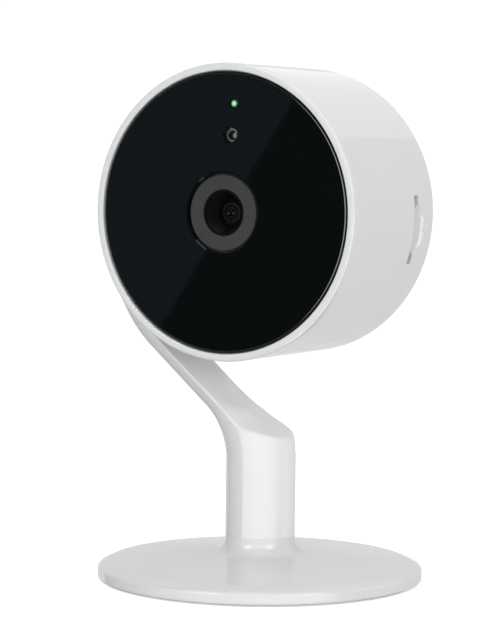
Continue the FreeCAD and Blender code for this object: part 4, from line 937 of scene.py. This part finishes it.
# ---- base ----
def makeBase():
    size = dict(radius=36.75, wall=1.2, lift=0.3, bevel=0.6, side=3.05, rimIn=2.6, rim=4.1, dome=6.1,
                post=7.9, flare=0.12, fillet=2.7, footHeight=10.0, hole=5.55, inside=2.9)
    radius, post, lift, height = size["radius"], size["post"], size["lift"], size["footHeight"]
    foot = post + size["flare"]
    flareStart = size["dome"] + size["fillet"]
    rise = height - flareStart
    flare = (size["flare"] ** 2 + rise ** 2) / (2 * size["flare"])
    profile = rounded([(radius - size["wall"], size["inside"]), (radius - size["wall"], lift),
                       (radius - 0.45, lift, 0.3), (radius, size["bevel"] + 0.1, 0.45),
                       (radius, size["side"] - 0.1, 0.9), (radius - size["rimIn"], size["rim"], 4.0)],
                      8, False)
    inner = foot + size["fillet"] + 0.3
    span = radius - size["rimIn"] - inner
    for step in range(1, 24):
        share = step / 24
        profile.append((radius - size["rimIn"] - span * share,
                        size["rim"] + (size["dome"] - size["rim"]) * share * (1.1 - 0.1 * share)))
    # small round at the bottom of the foot, and its long hollow flare up to the seam
    for step in range(9):
        angle = math.pi / 2 * step / 8
        profile.append((foot + size["fillet"] * (1 - math.sin(angle)) + 0.3 * (1 - step / 8),
                        size["dome"] + size["fillet"] * (1 - math.cos(angle))))
    for step in range(1, 13):
        level = flareStart + (rise - 0.15) * step / 12
        drop = height - level
        profile.append((post + flare - math.sqrt(flare * flare - drop * drop), level))
    profile += rounded([(post, height - 0.15), (post, height, 0.05), (size["hole"], height),
                        (size["hole"], size["inside"])], 4, False)[1:]
    makePiece("base cover", lathe(profile, 256), rowFrame, "white_plastic", "root", ["base_cover"], sharp=50)

    # rubber foot with a rounded edge and a shallow ring groove
    edge, thick = 33.0, boxOf("foot_pad")[1].z
    profile = rounded([(0, 0.12), (24, 0.12), (24.2, 0.0), (edge, 0, 0.3), (edge, thick, 0.1), (0, thick)], 4,
                      False)
    makePiece("foot pad", lathe(profile, 160, closed=False), rowFrame, "rubber", "root", ["foot_pad"])


makeBase()
print("base made")


# ---- stage: floor, light and camera ----
stage = dict(azimuth=29.474, elevation=4.839, roll=0.628, distance=0.5402, target=(0.000512, 0.000177, 0.05),
             focalPixels=2395.68, middle=(264.36, 358.29), frameSize=(480, 640), floorReach=0.55)


def makeCamera():
    azimuth, elevation, roll = (math.radians(stage[key]) for key in ("azimuth", "elevation", "roll"))
    level = Vector((math.cos(azimuth), math.sin(azimuth), 0))
    ahead = Vector((-math.sin(azimuth), math.cos(azimuth), 0))
    forward = ahead * math.cos(elevation) - Vector((0, 0, math.sin(elevation)))
    upright = level.cross(forward)
    right = level * math.cos(roll) + upright * math.sin(roll)
    up = right.cross(forward)
    place = Vector(stage["target"]) - forward * stage["distance"]
    data = bpy.data.cameras.new("camera")
    wide, tall = stage["frameSize"]
    data.lens = stage["focalPixels"] * data.sensor_width / tall
    data.shift_x = (wide / 2 - stage["middle"][0]) / tall
    data.shift_y = (stage["middle"][1] - tall / 2) / tall
    data.clip_start = 0.01
    camera = bpy.data.objects.new("camera", data)
    camera.matrix_world = Matrix.Translation(place) @ Matrix((right, up, -forward)).transposed().to_4x4()
    bpy.context.scene.collection.objects.link(camera)
    bpy.context.scene.camera = camera


def lightOnly(light, names):
    # the light reaches only the named pieces
    chosen = bpy.data.collections.new(light.name + " receivers")
    for name in names:
        chosen.objects.link(bpy.data.objects[name])
    light.light_linking.receiver_collection = chosen


def makeCard(name, corners, strength, fade=None, tint=(1, 1, 1, 1)):
    # a glowing card that only mirrors see; it may fade along one axis of the scene between two places
    mesh = bpy.data.meshes.new(name)
    mesh.from_pydata(corners, [], [list(range(len(corners)))])
    card = bpy.data.objects.new(name, mesh)
    bpy.context.scene.collection.objects.link(card)
    shader = Shader(name)
    glow = shader.add("ShaderNodeEmission", {}, {"Color": tint, "Strength": 1.0})
    if fade:
        axis, start, end, last = fade
        across = shader.add("ShaderNodeSeparateXYZ", {}, {"Vector": shader.place}, axis)
        tone = shader.window(across, start, end, 1.0, last / strength)
        shader.feed(glow.socket.node, {"Color": shader.blend(tone, (0, 0, 0, 1), (1, 1, 1, 1))})
    shader.feed(glow.socket.node, {"Strength": strength})
    # a card adds its glow and hides nothing behind it
    through = shader.add("ShaderNodeBsdfTransparent", {}, {})
    both = shader.add("ShaderNodeAddShader", {}, {0: glow, 1: through})
    shader.links.new(both.socket, shader.nodes["Material Output"].inputs["Surface"])
    shader.nodes.remove(shader.surface)
    mesh.materials.append(shader.material)
    card.visible_camera = False
    card.visible_shadow = False
    card.visible_diffuse = False
    return card


def makeArea(name, place, aim, size, power, mirrored=False):
    data = bpy.data.lights.new(name, "AREA")
    data.shape = "DISK"
    data.size, data.energy = size, power
    light = bpy.data.objects.new(name, data)
    light.location = place
    light.rotation_euler = (Vector(aim) - Vector(place)).to_track_quat("-Z", "Y").to_euler()
    bpy.context.scene.collection.objects.link(light)
    light.visible_glossy = mirrored
    return light


def makeStage():
    look = dict(seen=1.1, ambient=0.52, shine=0.03, floorGlow=0.55, backCard=0.78, ceilingCard=0.35,
                postCard=2.8, postCardEnd=1.2, footCard=2.0, softBox=4.5, lensBox=2.5, windowCard=0.112,
                windowTint=(0.78, 1.02, 1.14, 1), rimCard=7.0, rimCardWidth=0.09, topPower=2.4, keyPower=5.0,
                fillPower=1.15, armPower=1.0)
    world = bpy.data.worlds.new("studio")
    bpy.context.scene.world = world
    world.use_nodes = True
    world.cycles.sampling_method = "NONE"
    nodes, links = world.node_tree.nodes, world.node_tree.links
    path = nodes.new("ShaderNodeLightPath")
    background = nodes["Background"]
    tone = grey(look["ambient"])
    for ray, level in (("Is Glossy Ray", look["shine"]), ("Is Camera Ray", look["seen"])):
        mix = nodes.new("ShaderNodeMix")
        mix.data_type = "RGBA"
        links.new(path.outputs[ray], mix.inputs[0])
        if isinstance(tone, tuple):
            mix.inputs[6].default_value = tone
        else:
            links.new(tone, mix.inputs[6])
        mix.inputs[7].default_value = grey(level)
        tone = mix.outputs[2]
    links.new(tone, background.inputs["Color"])
    background.inputs["Strength"].default_value = 1.0

    floorMesh = bpy.data.meshes.new("floor")
    points = [(x, y, 0) for x, y in circleLoop((0, 0), stage["floorReach"], 96)]
    floorMesh.from_pydata(points, [], [list(range(96))])
    floor = bpy.data.objects.new("floor", floorMesh)
    bpy.context.scene.collection.objects.link(floor)
    shader = Shader("pale floor")
    speckle = shader.noise(300, 3)
    seenDirectly = shader.add("ShaderNodeLightPath", {}, {})
    floorMesh.materials.append(shader.finish(
        Base_Color=shader.blend(speckle, grey(0.9), grey(0.92)), Roughness=shader.spread(speckle, 0.6, 0.7),
        Specular_IOR_Level=0.2, Emission_Strength=look["floorGlow"],
        Emission_Color=shader.blend(seenDirectly, grey(0.0), shader.blend(speckle, grey(0.98), grey(1.0)))))
    floor.visible_glossy = False

    makeCard("back card", [(-4, 1.5, -0.8), (4, 1.5, -0.8), (4, 1.5, 3), (-4, 1.5, 3)], look["backCard"])
    # its edge runs along the barrel, which mirrors it as a line
    corners = [(x, y, 0.61) for x, y in ((-3, -0.2), (0.3, -0.2), (0.3, 2.2), (-3, 2.2))]
    ceiling = makeCard("ceiling card", corners, look["ceilingCard"])
    lightOnly(ceiling, ["barrel-shell"])
    corners = [(x, -0.48, z) for x, z in ((-0.30, -0.13), (0.3, -0.14), (5, -0.9), (5, 0.5), (-0.30, 0.5))]
    postCard = makeCard("post card", corners, look["postCard"], fade=(0, -0.1, 1.2, look["postCardEnd"]))
    lightOnly(postCard, ["arm-body", "tilt-plug"])
    corners = [(x, -0.5, z) for x, z in ((-1.6, -0.2), (5, -0.9), (5, 0.5), (-1.6, 0.5))]
    footCard = makeCard("foot card", corners, look["footCard"], fade=(0, 0.35, -0.8, 0.0))
    lightOnly(footCard, ["base-cover"])
    # soft boxes, mirrored as spots in the round at the foot of the post and as glints in the lens
    for name, turn, rise, reach, level, receiver in (
            ("left soft box", -11.5, 25, 0.2, look["softBox"], "base-cover"),
            ("right soft box", 61.5, 25, 0.2, look["softBox"], "base-cover"),
            ("left lens box", -43, 0, 0.05, look["lensBox"], "front-lens-glass"),
            ("right lens box", -15, 0, 0.05, look["lensBox"], "front-lens-glass")):
        away = Matrix.Rotation(math.radians(turn), 4, "Z") @ Matrix.Rotation(math.radians(-rise), 4, "X")
        corners = ((-reach, -reach), (reach, -reach), (reach, reach), (-reach, reach))
        box = makeCard(name, [away @ Vector((x, -1.0, z)) for x, z in corners], level)
        lightOnly(box, [receiver])

    # the card mirrored in the window; its edge runs through two places found by mirroring the camera
    windowLevel = -front["window"] * mm
    eye = Vector(bpy.context.scene.camera.matrix_world.translation)
    eye.y = 2 * windowLevel - eye.y
    edge = []
    for spot in ((-7.92, -18.16), (14.84, 26.82)):
        place = (headFrame @ Vector((*spot, front["window"]))) * mm
        edge.append(place + (place - eye) * ((0.9 + place.y) / -(place - eye).y))
    run = (edge[1] - edge[0]) * 1.3
    side = Vector((-0.25, 0, 0.12))
    makeCard("window card", [edge[0] - run, edge[1] + run, edge[1] + run + side, edge[0] - run + side],
             look["windowCard"], tint=look["windowTint"])

    # a bent strip, mirrored in the chamfer round the window's right side
    eye = bpy.context.scene.camera.matrix_world.translation
    turn = headFrame.to_3x3()
    places, ways = [], []
    for angle in range(-75, 86, 8):
        out = Vector((math.cos(math.radians(angle)), math.sin(math.radians(angle)), 0))
        spot = (headFrame @ (out * 30.4 + Vector((0, 0, front["window"])))) * mm
        ways.append((spot - eye).normalized().reflect((turn @ (out + Vector((0, 0, 1)))).normalized()))
        places.append(spot + ways[-1] * 0.8)
    for number in range(len(places) - 1):
        side = ways[number].cross(places[number + 1] - places[number]).normalized() * look["rimCardWidth"]
        first, last = places[number:number + 2]
        corners = [first - side, last - side, last + side, first + side]
        card = makeCard(f"rim card {number}", corners, look["rimCard"])
        lightOnly(card, ["front-window", "barrel-shell", "front-lens-glass"])

    makeArea("top light", (0.1, 0.05, 1.2), (0, 0, 0.08), 1.1, look["topPower"], mirrored=True)
    makeArea("fill light", (0.8, -0.25, 0.16), (0, 0, 0.06), 0.5, look["fillPower"])
    armLight = makeArea("arm light", (0.8, -0.2, 0.12), (0, 0, 0.045), 0.4, look["armPower"])
    lightOnly(armLight, ["arm-body"])
    makeArea("key light", (0.25, -1.1, 0.45), (0, 0, 0.07), 0.9, look["keyPower"])


makeCamera()
makeStage()
bpy.context.scene.view_settings.view_transform = "Standard"
